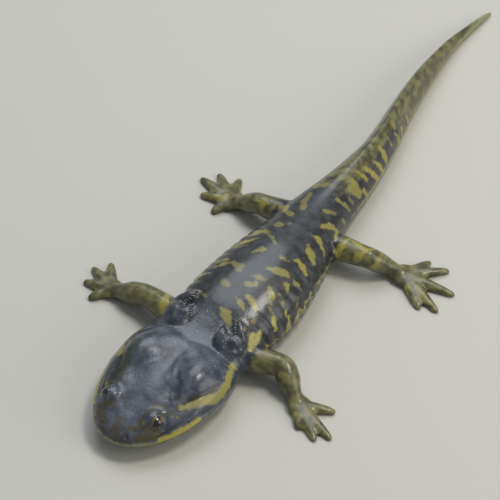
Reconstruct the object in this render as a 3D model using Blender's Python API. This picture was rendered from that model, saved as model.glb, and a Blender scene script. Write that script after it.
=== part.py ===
"""Tiger salamander: a large gilled adult at rest, life size, in metres with +Z up.

The animal faces -Y with its left side towards +X, and its belly, feet and tail lie on the plane z = 0.
Head, neck, trunk and tail share one skin, whose cross-sections follow smooth profiles along the spine.
Thin gaps part that skin into pieces, and the legs and gills grow from it face to face. All sizes below
are in millimetres, with stations measured back from the tip of the snout.
"""

import bmesh
import bpy
import numpy as np
from mathutils import Matrix, Vector

MM = 0.001
GAP = 0.3  # clear space that neighbouring pieces keep

# Lengths along the spine
MOUTH_CORNER = 33.0
HEAD_END = 46.0
NECK_END = 61.0
CHEST_END = 82.0
LOIN_START = 102.0
VENT = 126.0
TAIL_BASE_END = 165.0
TAIL_MIDDLE_END = 206.0
TAIL_TIP = 250.0

# How far each end of the head rounds off before the section is full size
SNOUT_REACH = 0.6
SNOUT_ROUNDING = 24.5
BROW_ROUNDING = 15.0
CHIN_ROUNDING = 8.0
SNOUT_HEIGHT = 6.6

# Girth of the ring of points, which is finer on the head
HEAD_RING = 38
TRUNK_RING = 26
TAIL_RING = 18
RING_DETAIL = 240
MOUTH_CROWDING = 0.55  # how much closer together the head's points lie at the mouth and the crown

# Stations of the head's rings: close together where the snout rounds off, then evenly spaced
SNOUT_RINGS = (-0.5, -0.2, 0.25, 0.8, 1.7, 2.9, 4.4, 6.2)
BROW_START = 8.0
BROW_RINGS = 21

# Soft humps and hollows of the head's top: rise, station, reach along, offset to each side, reach across
HEAD_RELIEF = (
    (1.5, 35.5, 8.0, 10.8, 5.2),  # jaw muscle
    (-0.7, 34.0, 9.0, 0.0, 2.8),  # furrow where the two jaw muscles meet
    (-0.6, 24.0, 4.5, 7.4, 2.6),  # furrow that runs from there to the eye
    (-0.7, 22.5, 4.5, 14.6, 2.8),  # hollow of the cheek behind the eye
    (-0.4, 13.0, 7.0, 0.0, 5.0),  # flat between the eyes
)
LIP_RISE = 0.55
LIP_OFFSET = 1.0  # height of the fullest part of each lip above or below the mouth line
LIP_FULLNESS = 0.6
JAW_SETBACK = 0.9  # how far the lower jaw lies inside the upper lip
LIP_FADE = 6.0  # length over which the lips fade at the snout and at the corner
NECK_CREASE_DEPTH = 0.9
NECK_CREASE_WIDTH = 1.6
COSTAL_GROOVE_DEPTH = 0.5
COSTAL_GROOVE_WIDTH = 0.9
COSTAL_GROOVES = 12
FIRST_GROOVE = 63.0
LAST_GROOVE = 109.0
GROOVE_LEVEL = 10.0  # height of a groove's middle, with its reach up and down
GROOVE_REACH = 7.0

# Eyes and nostrils, placed from the head's own middle line
EYE_STATION = 12.4
EYE_OFFSET = 9.7
EYE_LEVEL = 11.2
EYE_RADIUS = 3.0
EYE_TILT = 38.0  # degrees that an eye looks up from level
EYE_SWING = 20.0  # degrees that an eye looks forwards from straight out
LID_LENGTH = 4.8
LID_WIDTH = 4.1
LID_RISE = 3.3
LID_SINK = 0.6
LID_SEGMENTS = 18
NOSTRIL_STATION = 2.2
NOSTRIL_OFFSET = 5.2
NOSTRIL_LEVEL = 9.6
NOSTRIL_RADII = (0.65, 1.3, 0.65)
NOSTRIL_SEGMENTS = 8

# Gills: station and offset of each lobe's root and of its tip, then the sizes that the lobes share
GILLS = (((47.6, 9.4), (54.6, 6.4)), ((49.4, 13.6), (54.2, 10.6)), ((53.6, 15.0), (59.6, 8.6)))
GILL_RADII = (1.0, 1.45, 1.5, 1.1, 0.35)
GILL_FLATNESS = 1.45  # width of a lobe over its thickness
GILL_LIFTS = (0.2, 1.3, 1.9, 2.1, 1.9)  # height of the lobe's middle line over the skin, from root to tip
GILL_RING = 10
GILL_SPACING = 1.1
GILL_RIDGE_RADII = (1.3, 1.6, 1.3)
GILL_RIDGE_RING = 8
GILL_RIDGE_SPACING = 1.6
GILL_RIDGE_FLATNESS = 1.2

# Fingers and toes
DIGIT_RADII = (1.75, 1.35, 0.85, 0.35)
DIGIT_SHARES = (0.12, 0.52, 0.94, 1.0)  # places of those radii between the palm's middle and the tip
DIGIT_HEIGHTS = (1.5, 1.35, 0.75, 0.6)
DIGIT_FLATNESS = 1.15
DIGIT_RING = 6
DIGIT_SPACING = 2.6
PALM_THICKNESS = 3.4
PALM_BREADTH = 0.95  # breadth of a palm or sole over its length
PALM_SEGMENTS = 12
HAND_SPREAD = 4.3
SOLE_SPREAD = 4.9
LEG_RING = 12
LEG_SPACING = 1.9
CALF_SHARE = 0.45  # place of the calf's fullest part between knee and ankle
TURN_REACH = 2.8  # how far to each side a ring looks for the direction of a bent limb
TRUNK_SPACING = 1.6


def through(*knots):
    """Return a smooth size along the spine through (station, size) knots, with no overshoot between them."""
    at, size = np.array(knots, dtype=float).T
    slope = np.diff(size) / np.diff(at)
    before, after = slope[:-1], slope[1:]
    same_way = before * after > 0.0
    inner = np.where(same_way, 2.0 * before * after / np.where(same_way, before + after, 1.0), 0.0)
    tangent = np.concatenate(([slope[0]], inner, [slope[-1]]))

    def value(station):
        s = np.clip(station, at[0], at[-1])
        k = np.clip(np.searchsorted(at, s, side="right") - 1, 0, len(slope) - 1)
        step = at[k + 1] - at[k]
        t = (s - at[k]) / step
        start = size[k] * (1.0 + 2.0 * t) + tangent[k] * step * t
        end = size[k + 1] * (3.0 - 2.0 * t) - tangent[k + 1] * step * (1.0 - t)
        return start * (1.0 - t) ** 2 + end * t**2

    return value


# Sideways place of the spine, then the half width, heights and fullness of the section
SPINE = through(
    (0, -1.8), (15, -0.9), (34, 0.1), (50, 0.5), (64, 1.8), (82, 3.0), (98, 2.8), (112, 1.8), (124, 1.2),
    (140, 1.5), (155, 1.1), (168, -0.6), (181, -3.1), (204, -6.5), (225, -7.8), (237, -7.0), (250, -5.5),
)
HALF_WIDTH = through(
    (0, 16.1), (9, 17.4), (15, 18.3), (22, 19.3), (30, 20.5), (36, 20.8), (42, 19.9), (47, 18.6), (52, 18.0),
    (60, 18.2), (70, 19.1), (82, 18.5), (92, 17.0), (102, 15.0), (113, 12.9), (122, 11.0), (134, 9.0),
    (147, 7.4), (162, 5.7), (181, 4.6), (204, 3.5), (220, 2.4), (234, 1.5), (246, 0.9), (250, 0.5),
)
BACK = through(
    (0, 12.2), (10, 13.0), (20, 15.0), (32, 17.0), (40, 17.4), (47, 16.6), (54, 17.8), (64, 20.2),
    (78, 21.6), (92, 21.0), (104, 19.4), (116, 17.8), (126, 17.0), (140, 16.6), (162, 15.6), (181, 13.9),
    (204, 10.9), (220, 7.8), (234, 5.0), (246, 2.9), (250, 1.6),
)
WIDEST = through(
    (0, 6.3), (12, 6.6), (30, 7.5), (50, 7.8), (64, 8.6), (90, 8.8), (120, 7.6), (150, 6.2), (181, 4.8),
    (204, 3.8), (234, 1.9), (250, 0.8),
)
BELLY = through(
    (0, 1.4), (20, 0.9), (40, 0.1), (52, -0.8), (110, -0.9), (140, -0.5), (220, -0.4), (250, -0.1),
)
BACK_FULLNESS = through(
    (0, 2.3), (14, 2.5), (34, 2.6), (50, 2.2), (80, 2.1), (112, 2.1), (135, 1.8), (165, 1.5), (250, 1.6),
)
BELLY_FULLNESS = through((0, 2.2), (34, 2.5), (80, 2.4), (120, 2.2), (150, 2.0), (250, 2.0))
MOUTH = through((0, 6.2), (8, 6.5), (18, 7.2), (26, 8.0), (31, 8.0), (36, 7.2))


def rounding(station, length):
    """Grow from 0 at the tip of the snout to 1 after the given length, along a quarter of an ellipse."""
    ahead = np.clip(1.0 - (station + SNOUT_REACH) / length, 0.0, 1.0)
    return np.sqrt(1.0 - ahead**2)


def bump(distance, spread):
    """A soft hump of height 1 at distance 0."""
    return np.exp(-((distance / spread) ** 2))


def spine_frame(station):
    """Return the spine's point on the floor and the sideways direction there, both in millimetres."""
    centre = np.array([SPINE(station), station, 0.0])
    along = np.array([SPINE(station + 0.5) - SPINE(station - 0.5), 1.0, 0.0])
    along /= np.linalg.norm(along)
    return centre, np.array([along[1], -along[0], 0.0])


def relief(station, across, up, half_width):
    """Return how far the skin stands out from the plain section: muscles, lips, folds and grooves."""
    side = np.abs(across)
    out = np.zeros_like(across)
    for rise, middle, length, offset, width in HEAD_RELIEF:
        out += rise * bump(station - middle, length) * bump(side - offset, width) * (up > WIDEST(station))
    out -= NECK_CREASE_DEPTH * bump(station - HEAD_END, NECK_CREASE_WIDTH)
    lip_end = MOUTH_CORNER + 0.5 * LIP_FADE
    if station < lip_end:
        fade = np.clip((lip_end - station) / LIP_FADE, 0.0, 1.0) * np.clip(station / LIP_FADE, 0.0, 1.0)
        from_mouth = up - MOUTH(station)
        lips = LIP_RISE * bump(np.abs(from_mouth) - LIP_OFFSET, LIP_FULLNESS) * (side > 0.6 * half_width)
        below = 0.5 - 0.5 * np.tanh(2.0 * from_mouth + 0.4)
        out += fade * (lips - JAW_SETBACK * below)
    pitch = (LAST_GROOVE - FIRST_GROOVE) / (COSTAL_GROOVES - 1)
    if FIRST_GROOVE - 0.5 * pitch < station < LAST_GROOVE + 0.5 * pitch:
        place_in_row = (station - FIRST_GROOVE) / pitch
        depth = COSTAL_GROOVE_DEPTH * bump((place_in_row - round(place_in_row)) * pitch, COSTAL_GROOVE_WIDTH)
        out -= depth * bump(up - GROOVE_LEVEL, GROOVE_REACH) * (side > 0.5 * half_width)
    return out


def section(station, count, grow=0.0):
    """Return one ring of skin points, from the left side over the back to the right and under the belly."""
    half_width = HALF_WIDTH(station) * rounding(station, SNOUT_ROUNDING)
    top = SNOUT_HEIGHT + (BACK(station) - SNOUT_HEIGHT) * rounding(station, BROW_ROUNDING)
    bottom = SNOUT_HEIGHT + (BELLY(station) - SNOUT_HEIGHT) * rounding(station, CHIN_ROUNDING)
    widest = SNOUT_HEIGHT + (WIDEST(station) - SNOUT_HEIGHT) * rounding(station, BROW_ROUNDING)
    turn = np.linspace(-0.5 * np.pi, 1.5 * np.pi, RING_DETAIL, endpoint=False)
    sine, cosine = np.sin(turn), np.cos(turn)
    over = sine >= 0.0
    power = np.where(over, 2.0 / BACK_FULLNESS(station), 2.0 / BELLY_FULLNESS(station))
    height = np.where(over, top - widest, widest - bottom)
    across = half_width * np.sign(cosine) * np.abs(cosine) ** power
    up = widest + height * np.sign(sine) * np.abs(sine) ** power
    outward = np.stack([np.roll(up, -1) - np.roll(up, 1), np.roll(across, 1) - np.roll(across, -1)])
    outward /= np.maximum(np.linalg.norm(outward, axis=0), 1e-9)
    stand = relief(station, across, up, half_width) + grow
    across = across + outward[0] * stand
    up = up + outward[1] * stand
    run = np.concatenate(([0.0], np.cumsum(np.hypot(np.diff(across), np.diff(up)))))
    total = run[-1] + np.hypot(across[0] - across[-1], up[0] - up[-1])
    left = slice(0, RING_DETAIL // 2)
    start = np.interp(MOUTH(station) if station < HEAD_END else widest, up[left], run[left])
    part = np.arange(count) / count
    if station < HEAD_END:
        part = part - MOUTH_CROWDING * np.sin(4.0 * np.pi * part) / (4.0 * np.pi)
    where = (start + part * total) % total
    ring_run = np.append(run, total)
    across = np.interp(where, ring_run, np.append(across, across[0]))
    up = np.maximum(np.interp(where, ring_run, np.append(up, up[0])), -grow)
    centre, sideways = spine_frame(station)
    return [centre + sideways * a + np.array([0.0, 0.0, u]) for a, u in zip(across, up)]


def skin_piece(name, start, end, spacing, count, grow=0.0):
    """Skin the body between two stations, with a flat end at each."""
    stations = np.linspace(start, end, max(3, round((end - start) / spacing) + 1))
    return closed_skin(name, [section(s, count, grow) for s in stations])


def closed_skin(name, rings):
    """Extrude the first ring through the others, close both ends and return the object."""
    mesh = bmesh.new()
    ring = bmesh.ops.create_circle(mesh, cap_ends=False, segments=len(rings[0]), radius=MM)["verts"]
    edges = list(mesh.edges)
    place(ring, rings[0])
    bmesh.ops.contextual_create(mesh, geom=edges)
    for points in rings[1:]:
        grown = bmesh.ops.extrude_edge_only(mesh, edges=edges)["geom"]
        new = {item for item in grown if isinstance(item, bmesh.types.BMVert)}
        ring = [next(e.other_vert(v) for e in v.link_edges if e.other_vert(v) in new) for v in ring]
        edges = [item for item in grown if isinstance(item, bmesh.types.BMEdge)]
        place(ring, points)
    bmesh.ops.contextual_create(mesh, geom=edges)
    return as_object(name, mesh)


def place(ring, points):
    """Move a ring's corners to points given in millimetres."""
    for corner, point in zip(ring, points):
        corner.co = Vector(point) * MM


def as_object(name, mesh):
    """Split a mesh into triangles that face outwards and link it under a name."""
    bmesh.ops.recalc_face_normals(mesh, faces=mesh.faces)
    bmesh.ops.triangulate(mesh, faces=mesh.faces)
    data = bpy.data.meshes.new(name)
    mesh.to_mesh(data)
    mesh.free()
    thing = bpy.data.objects.new(name, data)
    bpy.context.scene.collection.objects.link(thing)
    return thing


def ball(name, centre, radii, turn=Matrix.Identity(3), segments=16):
    """An ellipsoid with its own axes turned by a matrix, sizes in millimetres."""
    mesh = bmesh.new()
    bmesh.ops.create_uvsphere(mesh, u_segments=segments, v_segments=segments // 2, radius=MM)
    shape = turn.to_4x4() @ Matrix.Diagonal((*radii, 1.0))
    bmesh.ops.transform(mesh, matrix=Matrix.Translation(Vector(centre) * MM) @ shape, verts=mesh.verts)
    return as_object(name, mesh)


def limb_rings(points, radii, count, spacing, flatten=1.0, span=(0.0, 1.0), normal=(0.0, 0.0, 1.0)):
    """Rings square to a smooth curve through the joints, for the span of its length between two shares.

    The section is wider than high by the flatten factor, and an end of the span may be a joint's share.
    """
    points = np.array(points, dtype=float)
    lengths = np.concatenate(([0.0], np.cumsum(np.linalg.norm(np.diff(points, axis=0), axis=1))))
    axes = [through(*zip(lengths, points[:, k])) for k in range(3)]
    radius = through(*zip(lengths, radii))
    first, last = span[0] * lengths[-1], span[1] * lengths[-1]
    rings = []
    for run in np.linspace(first, last, max(3, round((last - first) / spacing) + 1)):
        centre = Vector([axis(run) for axis in axes])
        ahead = Vector([axis(run + TURN_REACH) - axis(run - TURN_REACH) for axis in axes])
        side = ahead.cross(Vector(normal)).normalized()
        lift = side.cross(ahead).normalized()
        r = float(radius(run))
        turn = np.linspace(0.0, 2.0 * np.pi, count, endpoint=False)
        rings.append([centre + side * (r * flatten * np.cos(a)) + lift * (r * np.sin(a)) for a in turn])
    return rings


def combine(target, others, operation):
    """Apply one exact Boolean of a collection to the target and remove the collection's objects."""
    group = bpy.data.collections.new(target.name + "_" + operation.lower())
    for other in others:
        group.objects.link(other)
    modifier = target.modifiers.new(operation, "BOOLEAN")
    modifier.operation = operation
    modifier.solver = "EXACT"
    modifier.operand_type = "COLLECTION"
    modifier.collection = group
    result = bpy.data.meshes.new_from_object(target.evaluated_get(bpy.context.evaluated_depsgraph_get()))
    target.modifiers.clear()
    target.data = result
    for other in others:
        bpy.data.objects.remove(other)
    bpy.data.collections.remove(group)
    keep_largest(target)
    return target


def keep_largest(target):
    """Keep only the largest closed surface of a mesh."""
    mesh = bmesh.new()
    mesh.from_mesh(target.data)
    left = set(mesh.verts)
    islands = []
    while left:
        edge_of_island = [left.pop()]
        island = []
        while edge_of_island:
            corner = edge_of_island.pop()
            island.append(corner)
            fresh = [e.other_vert(corner) for e in corner.link_edges if e.other_vert(corner) in left]
            left.difference_update(fresh)
            edge_of_island.extend(fresh)
        islands.append(island)
    islands.sort(key=len, reverse=True)
    for island in islands[1:]:
        bmesh.ops.delete(mesh, geom=island, context="VERTS")
    bmesh.ops.triangulate(mesh, faces=mesh.faces)
    mesh.to_mesh(target.data)
    mesh.free()


def duplicate(source, name):
    """Copy an object with its own mesh."""
    copy = bpy.data.objects.new(name, source.data.copy())
    bpy.context.scene.collection.objects.link(copy)
    return copy


def floor_block(name):
    """A block under the floor that trims whatever dips below it to a small flat."""
    mesh = bmesh.new()
    bmesh.ops.create_cube(mesh, size=1.0)
    size = Matrix.Diagonal((0.4, 0.6, 0.02, 1.0))
    bmesh.ops.transform(mesh, matrix=Matrix.Translation((0.0, 0.12, -0.01)) @ size, verts=mesh.verts)
    return as_object(name, mesh)


def jaw_block(name, rise, reach):
    """The space of the lower jaw: all that lies under the mouth line as far back as the mouth's corner."""
    rings = []
    for station in np.linspace(-2.0, MOUTH_CORNER + reach, 16):
        centre, sideways = spine_frame(station)
        top = MOUTH(station) + rise
        corners = [(26.0, top), (-26.0, top), (-26.0, -4.0), (26.0, -4.0)]
        rings.append([centre + sideways * a + np.array([0.0, 0.0, u]) for a, u in corners])
    return closed_skin(name, rings)


def eye_place(side):
    """Return an eye's centre and the turn of its own axes, with local Z looking out."""
    centre, sideways = spine_frame(EYE_STATION)
    centre = centre + sideways * side * EYE_OFFSET + np.array([0.0, 0.0, EYE_LEVEL])
    tilt, swing = np.radians(EYE_TILT), np.radians(EYE_SWING)
    out = Vector((side * np.cos(tilt) * np.cos(swing), -np.cos(tilt) * np.sin(swing), np.sin(tilt)))
    along = Vector((0.0, 1.0, 0.0)).cross(out).cross(out).normalized()
    return centre, Matrix((along, out.cross(along), out)).transposed()


def make_head():
    """Skull and cheeks with lips, lids, nostrils and the sockets, and the lower jaw under the mouth line."""
    rest = np.linspace(BROW_START, HEAD_END - 0.5 * GAP, BROW_RINGS)
    head = closed_skin("head", [section(s, HEAD_RING) for s in np.concatenate((SNOUT_RINGS, rest))])
    jaw = duplicate(head, "lower_jaw")
    combine(head, [jaw_block("mouth_cut", 0.5 * GAP, GAP)], "DIFFERENCE")
    combine(jaw, [jaw_block("jaw_space", -0.5 * GAP, 0.0)], "INTERSECT")
    lids, hollows = [], []
    for side, word in ((1, "left"), (-1, "right")):
        centre, turn = eye_place(side)
        lid_centre = centre - np.array(turn.col[2]) * LID_SINK
        lids.append(ball("lid_" + word, lid_centre, (LID_LENGTH, LID_WIDTH, LID_RISE), turn, LID_SEGMENTS))
        hollows.append(ball("socket_" + word, centre, (EYE_RADIUS + GAP,) * 3, turn))
        middle, sideways = spine_frame(NOSTRIL_STATION)
        rim = middle + sideways * side * NOSTRIL_OFFSET + np.array([0.0, 0.0, NOSTRIL_LEVEL])
        hollows.append(ball("nostril_" + word, rim, NOSTRIL_RADII, segments=NOSTRIL_SEGMENTS))
    combine(head, lids, "UNION")
    combine(head, hollows, "DIFFERENCE")
    return [head, jaw]


def make_eyes():
    """One ball in each socket."""
    eyes = []
    for side, word in ((1, "left"), (-1, "right")):
        centre, turn = eye_place(side)
        eyes.append(ball("eye_" + word, centre, (EYE_RADIUS,) * 3, turn))
    return eyes


def body_room(start, end):
    """The body between two stations with the gap added all round, to cut what grows from it."""
    return skin_piece("body_room", start, end, TRUNK_SPACING, TRUNK_RING, GAP)


def make_trunk_and_tail():
    """The lengths of the body behind the head, parted by thin gaps."""
    half = 0.5 * GAP
    lengths = (
        ("neck", HEAD_END, NECK_END, TRUNK_SPACING, TRUNK_RING),
        ("torso_front", NECK_END, CHEST_END, 1.4, TRUNK_RING),
        ("torso_middle", CHEST_END, LOIN_START, 1.4, TRUNK_RING),
        ("torso_rear", LOIN_START, VENT, 1.7, TRUNK_RING),
        ("tail_base", VENT, TAIL_BASE_END, 3.2, TAIL_RING),
        ("tail_middle", TAIL_BASE_END, TAIL_MIDDLE_END, 3.4, TAIL_RING),
        ("tail_tip", TAIL_MIDDLE_END, TAIL_TIP + half, 3.4, TAIL_RING),
    )
    pieces = []
    for name, start, end, spacing, ring in lengths:
        pieces.append(skin_piece(name, start + half, end - half, spacing, ring))
    return pieces


def skin_point(station, offset, side):
    """Return the point of the plain back at an offset to one side, and its outward direction."""
    width, height, power = HALF_WIDTH(station), BACK(station) - WIDEST(station), BACK_FULLNESS(station)
    share = offset / width
    up = height * (1.0 - share**power) ** (1.0 / power)
    centre, sideways = spine_frame(station)
    slope = np.array([share ** (power - 1.0) / width, (up / height) ** (power - 1.0) / height])
    out = sideways * side * slope[0] + np.array([0.0, 0.0, slope[1]])
    point = centre + sideways * side * offset + np.array([0.0, 0.0, WIDEST(station) + up])
    return point, out / np.linalg.norm(out)


def make_gills(side, word):
    """Three short fleshy lobes that lean back over the neck from one ridge."""
    ridge, lobes = [], []
    for root, tip in GILLS:
        line = []
        for share, lift in zip(np.linspace(0.0, 1.0, len(GILL_LIFTS)), GILL_LIFTS):
            station, offset = np.array(root) * (1.0 - share) + np.array(tip) * share
            point, out = skin_point(station, offset, side)
            line.append(point + out * lift)
        middle_out = skin_point(0.5 * (root[0] + tip[0]), 0.5 * (root[1] + tip[1]), side)[1]
        rings = limb_rings(line, GILL_RADII, GILL_RING, GILL_SPACING, GILL_FLATNESS, normal=middle_out)
        lobes.append(closed_skin(f"gill_{word}_{len(lobes)}", rings))
        ridge.append(line[0])
    rings = limb_rings(ridge, GILL_RIDGE_RADII, GILL_RIDGE_RING, GILL_RIDGE_SPACING, GILL_RIDGE_FLATNESS)
    gills = closed_skin("gills_" + word, rings)
    return combine(gills, lobes, "UNION")


def make_leg(name, words, joints, radii, digits, spread):
    """Upper leg, lower leg and foot along one bent curve, with a gap at each joint."""
    root, knee, ankle, palm = (Vector(j) for j in joints)
    points = [root, root.lerp(knee, 0.5), knee, knee.lerp(ankle, CALF_SHARE), ankle, palm]
    runs = np.concatenate(([0.0], np.cumsum([(b - a).length for a, b in zip(points, points[1:])])))
    share_knee, share_ankle, half = runs[2] / runs[-1], runs[4] / runs[-1], 0.5 * GAP / runs[-1]
    spans = ((0.0, share_knee - half), (share_knee + half, share_ankle - half), (share_ankle + half, 1.0))
    pieces = []
    for word, span in zip(words, spans):
        rings = limb_rings(points, radii, LEG_RING, LEG_SPACING, span=span)
        pieces.append(closed_skin(f"{name}_{word}", rings))
    foot = pieces[-1]
    toward = palm - ankle
    heading = Matrix.Rotation(np.arctan2(toward.y, toward.x), 3, "Z")
    sole = (spread, PALM_BREADTH * spread, 0.5 * PALM_THICKNESS)
    parts = [ball(foot.name + "_palm", palm, sole, heading, PALM_SEGMENTS)]
    for number, tip in enumerate(digits):
        line = []
        for share, height in zip(DIGIT_SHARES, DIGIT_HEIGHTS):
            flat = palm.xy.lerp(Vector(tip), share)
            line.append((flat.x, flat.y, height))
        rings = limb_rings(line, DIGIT_RADII, DIGIT_RING, DIGIT_SPACING, DIGIT_FLATNESS)
        parts.append(closed_skin(f"{foot.name}_{number}", rings))
    combine(foot, parts, "UNION")
    return pieces


# Radii at the root, mid upper leg, knee, calf, ankle and palm, then each leg's joints and digit tips
ARM_RADII = (5.0, 4.7, 4.0, 4.2, 3.0, 1.8)
THIGH_RADII = (5.2, 4.8, 3.9, 3.8, 2.9, 1.8)
LEGS = {
    "foreleg_left": ((
        (8.0, 51.5, 9.0), (28.7, 58.3, 7.2), (35.6, 53.6, 3.4), (39.6, 51.2, 1.9)),
        ((44.8, 42.6), (52.4, 41.7), (56.6, 45.2), (51.4, 56.2))),
    "foreleg_right": ((
        (-7.0, 55.5, 9.0), (-28.6, 58.6, 7.2), (-38.0, 58.2, 3.4), (-42.6, 58.4, 1.9)),
        ((-47.4, 50.6), (-53.4, 56.2), (-54.6, 63.4), (-50.4, 68.6))),
    "hindleg_left": ((
        (3.0, 111.0, 9.0), (25.4, 115.2, 8.0), (32.4, 119.0, 3.6), (37.8, 120.2, 1.9)),
        ((50.2, 110.4), (56.2, 112.8), (57.0, 122.8), (49.4, 131.6), (42.0, 131.4))),
    "hindleg_right": ((
        (0.0, 116.8, 9.0), (-19.4, 115.4, 8.0), (-27.0, 115.8, 3.6), (-32.0, 116.0, 1.9)),
        ((-34.8, 107.6), (-43.2, 112.6), (-47.6, 119.6), (-43.4, 125.0), (-35.6, 127.0))),
}

ARM_WORDS = ("upper_arm", "forearm", "hand")
HIND_WORDS = ("thigh", "shank", "foot")

# Stretches of the body that the gills, the upper arms and the thighs are cut to fit
GILL_ROOM = (HEAD_END - 6.0, NECK_END + 6.0)
ARM_ROOM = (HEAD_END - 4.0, NECK_END + 8.0)
THIGH_ROOM = (LOIN_START - 6.0, VENT + 4.0)

COLOURS = {
    "slate": (0.052, 0.062, 0.075),
    "olive": (0.115, 0.118, 0.052),
    "yellow": (0.300, 0.260, 0.060),
    "eye": (0.020, 0.018, 0.014),
    "gill": (0.085, 0.088, 0.086),
}


def paint(thing, colour, roughness):
    """Give a piece its own Principled material and smooth shading."""
    material = bpy.data.materials.new(thing.name + "_" + colour)
    material.use_nodes = True
    shader = material.node_tree.nodes["Principled BSDF"]
    shader.inputs["Base Color"].default_value = (*COLOURS[colour], 1.0)
    shader.inputs["Roughness"].default_value = roughness
    shader.inputs["Metallic"].default_value = 0.0
    thing.data.materials.clear()
    thing.data.materials.append(material)
    thing.data.shade_smooth()
    thing.data.set_sharp_from_angle(angle=np.radians(50.0))


def centre_on_origin(things):
    """Move every piece so that the whole stands on z = 0 with its box centred on the vertical axis."""
    corners = np.array([thing.matrix_world @ v.co for thing in things for v in thing.data.vertices])
    low, high = corners.min(axis=0), corners.max(axis=0)
    shift = Matrix.Translation((-0.5 * (low[0] + high[0]), -0.5 * (low[1] + high[1]), -low[2]))
    for thing in things:
        thing.data.transform(shift)
        thing.data.update()


def main():
    """Build every piece of the animal."""
    for thing in list(bpy.data.objects):
        bpy.data.objects.remove(thing)
    pieces = make_head() + make_eyes() + make_trunk_and_tail()
    gills = [make_gills(side, word) for side, word in ((1, "left"), (-1, "right"))]
    for gill in gills:
        combine(gill, [body_room(*GILL_ROOM)], "DIFFERENCE")
    legs = []
    for name, (joints, digits) in LEGS.items():
        if name.startswith("foreleg"):
            words, radii, spread, room = ARM_WORDS, ARM_RADII, HAND_SPREAD, ARM_ROOM
        else:
            words, radii, spread, room = HIND_WORDS, THIGH_RADII, SOLE_SPREAD, THIGH_ROOM
        upper, lower, foot = make_leg(name, words, joints, radii, digits, spread)
        combine(upper, [body_room(*room)], "DIFFERENCE")
        for thing in (lower, foot):
            combine(thing, [floor_block("floor")], "DIFFERENCE")
        legs += [upper, lower, foot]
    for thing in pieces + gills + legs:
        name = thing.name
        if name.startswith("eye"):
            paint(thing, "eye", 0.1)
        elif name.startswith("gills"):
            paint(thing, "gill", 0.35)
        elif thing in legs or name.startswith("tail"):
            paint(thing, "olive", 0.4)
        elif name == "lower_jaw":
            paint(thing, "yellow", 0.4)
        else:
            paint(thing, "slate", 0.35)
    centre_on_origin(pieces + gills + legs)


main()
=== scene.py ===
"""Looks of a large gilled tiger salamander at rest, life size, in metres with +Z up.

One fine skin covers the whole animal and takes the place of its plain flesh solids. Its forms follow the
same profiles along the spine as the solids, and it adds folds, lips, lids, grooves and markings. Two wet
eyes and the fine fringes of the gills are pieces of their own. Sizes are in millimetres until a piece's mesh
is finished: a "station" is the distance back from the tip of the snout, "across" is measured to the left of
the spine, and "up" from the floor.
"""

import logging
from collections.abc import Callable
from dataclasses import dataclass
from enum import Enum

import bmesh
import bpy
import numpy as np
from mathutils import Matrix, Vector


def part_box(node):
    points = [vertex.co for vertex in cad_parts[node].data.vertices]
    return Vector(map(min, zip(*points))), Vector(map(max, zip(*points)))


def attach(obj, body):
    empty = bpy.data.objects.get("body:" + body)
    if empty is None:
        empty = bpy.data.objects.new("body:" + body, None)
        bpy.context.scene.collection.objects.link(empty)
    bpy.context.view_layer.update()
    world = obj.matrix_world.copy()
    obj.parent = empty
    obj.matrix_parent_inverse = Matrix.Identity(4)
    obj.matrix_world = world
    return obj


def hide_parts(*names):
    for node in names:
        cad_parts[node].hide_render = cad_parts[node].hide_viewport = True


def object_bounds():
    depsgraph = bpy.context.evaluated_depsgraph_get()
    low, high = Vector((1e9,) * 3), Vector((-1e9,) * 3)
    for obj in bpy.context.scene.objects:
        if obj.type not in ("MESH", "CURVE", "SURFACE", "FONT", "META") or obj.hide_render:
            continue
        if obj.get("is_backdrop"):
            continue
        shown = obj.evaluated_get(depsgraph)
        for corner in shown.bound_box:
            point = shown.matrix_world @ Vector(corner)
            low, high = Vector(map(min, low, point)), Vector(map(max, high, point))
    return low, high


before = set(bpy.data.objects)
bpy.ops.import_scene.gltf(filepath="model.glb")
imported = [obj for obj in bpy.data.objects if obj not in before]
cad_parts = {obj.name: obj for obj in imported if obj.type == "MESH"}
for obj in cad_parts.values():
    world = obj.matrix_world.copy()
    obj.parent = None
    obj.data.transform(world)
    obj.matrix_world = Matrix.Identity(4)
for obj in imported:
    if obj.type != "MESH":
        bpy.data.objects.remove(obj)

MM = 0.001
SEED = 20
BODY = "root"
FLESH = (
    "head", "lower_jaw", "neck", "torso_front", "torso_middle", "torso_rear",
    "tail_base", "tail_middle", "tail_tip", "gills_left", "gills_right",
    "foreleg_left_upper_arm", "foreleg_left_forearm", "foreleg_left_hand",
    "foreleg_right_upper_arm", "foreleg_right_forearm", "foreleg_right_hand",
    "hindleg_left_thigh", "hindleg_left_shank", "hindleg_left_foot",
    "hindleg_right_thigh", "hindleg_right_shank", "hindleg_right_foot",
)
UPWARDS = np.array([0.0, 0.0, 1.0])
BARE = -2.0  # a painted field's value, in millimetres inside a marking, where there is none
log = logging.getLogger("salamander")
Points = np.ndarray
ToFrame = Callable[[Points], Points]


class Side(Enum):
    """The animal's two sides, as the sign of their direction across."""

    LEFT = 1
    RIGHT = -1


class Paint(Enum):
    """The fields painted on the skin's points, which its material reads by these names."""

    YELLOW = "yellow"
    VIVID = "vivid"
    # Dark green, partly painted shade on the head's right side and along the left cheek groove
    MOSS = "moss"
    UMBER = "umber"
    # Painted shade in the head's creases, on its right side and between the gill lobes, with a few dark
    # patches
    SOOT = "soot"
    PALE = "pale"
    CROWN = "crown"
    OLIVE = "olive"
    SPECKS = "specks"


def bump(distance: Points, spread: float) -> Points:
    """Return a soft hump of height 1 at distance 0."""
    return np.exp(-((distance / spread) ** 2))


def ramp(value: Points, low: float, high: float) -> Points:
    """Return 0 below low, 1 above high and a smooth step between."""
    t = np.clip((value - low) / (high - low), 0.0, 1.0)
    return t * t * (3.0 - 2.0 * t)


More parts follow.
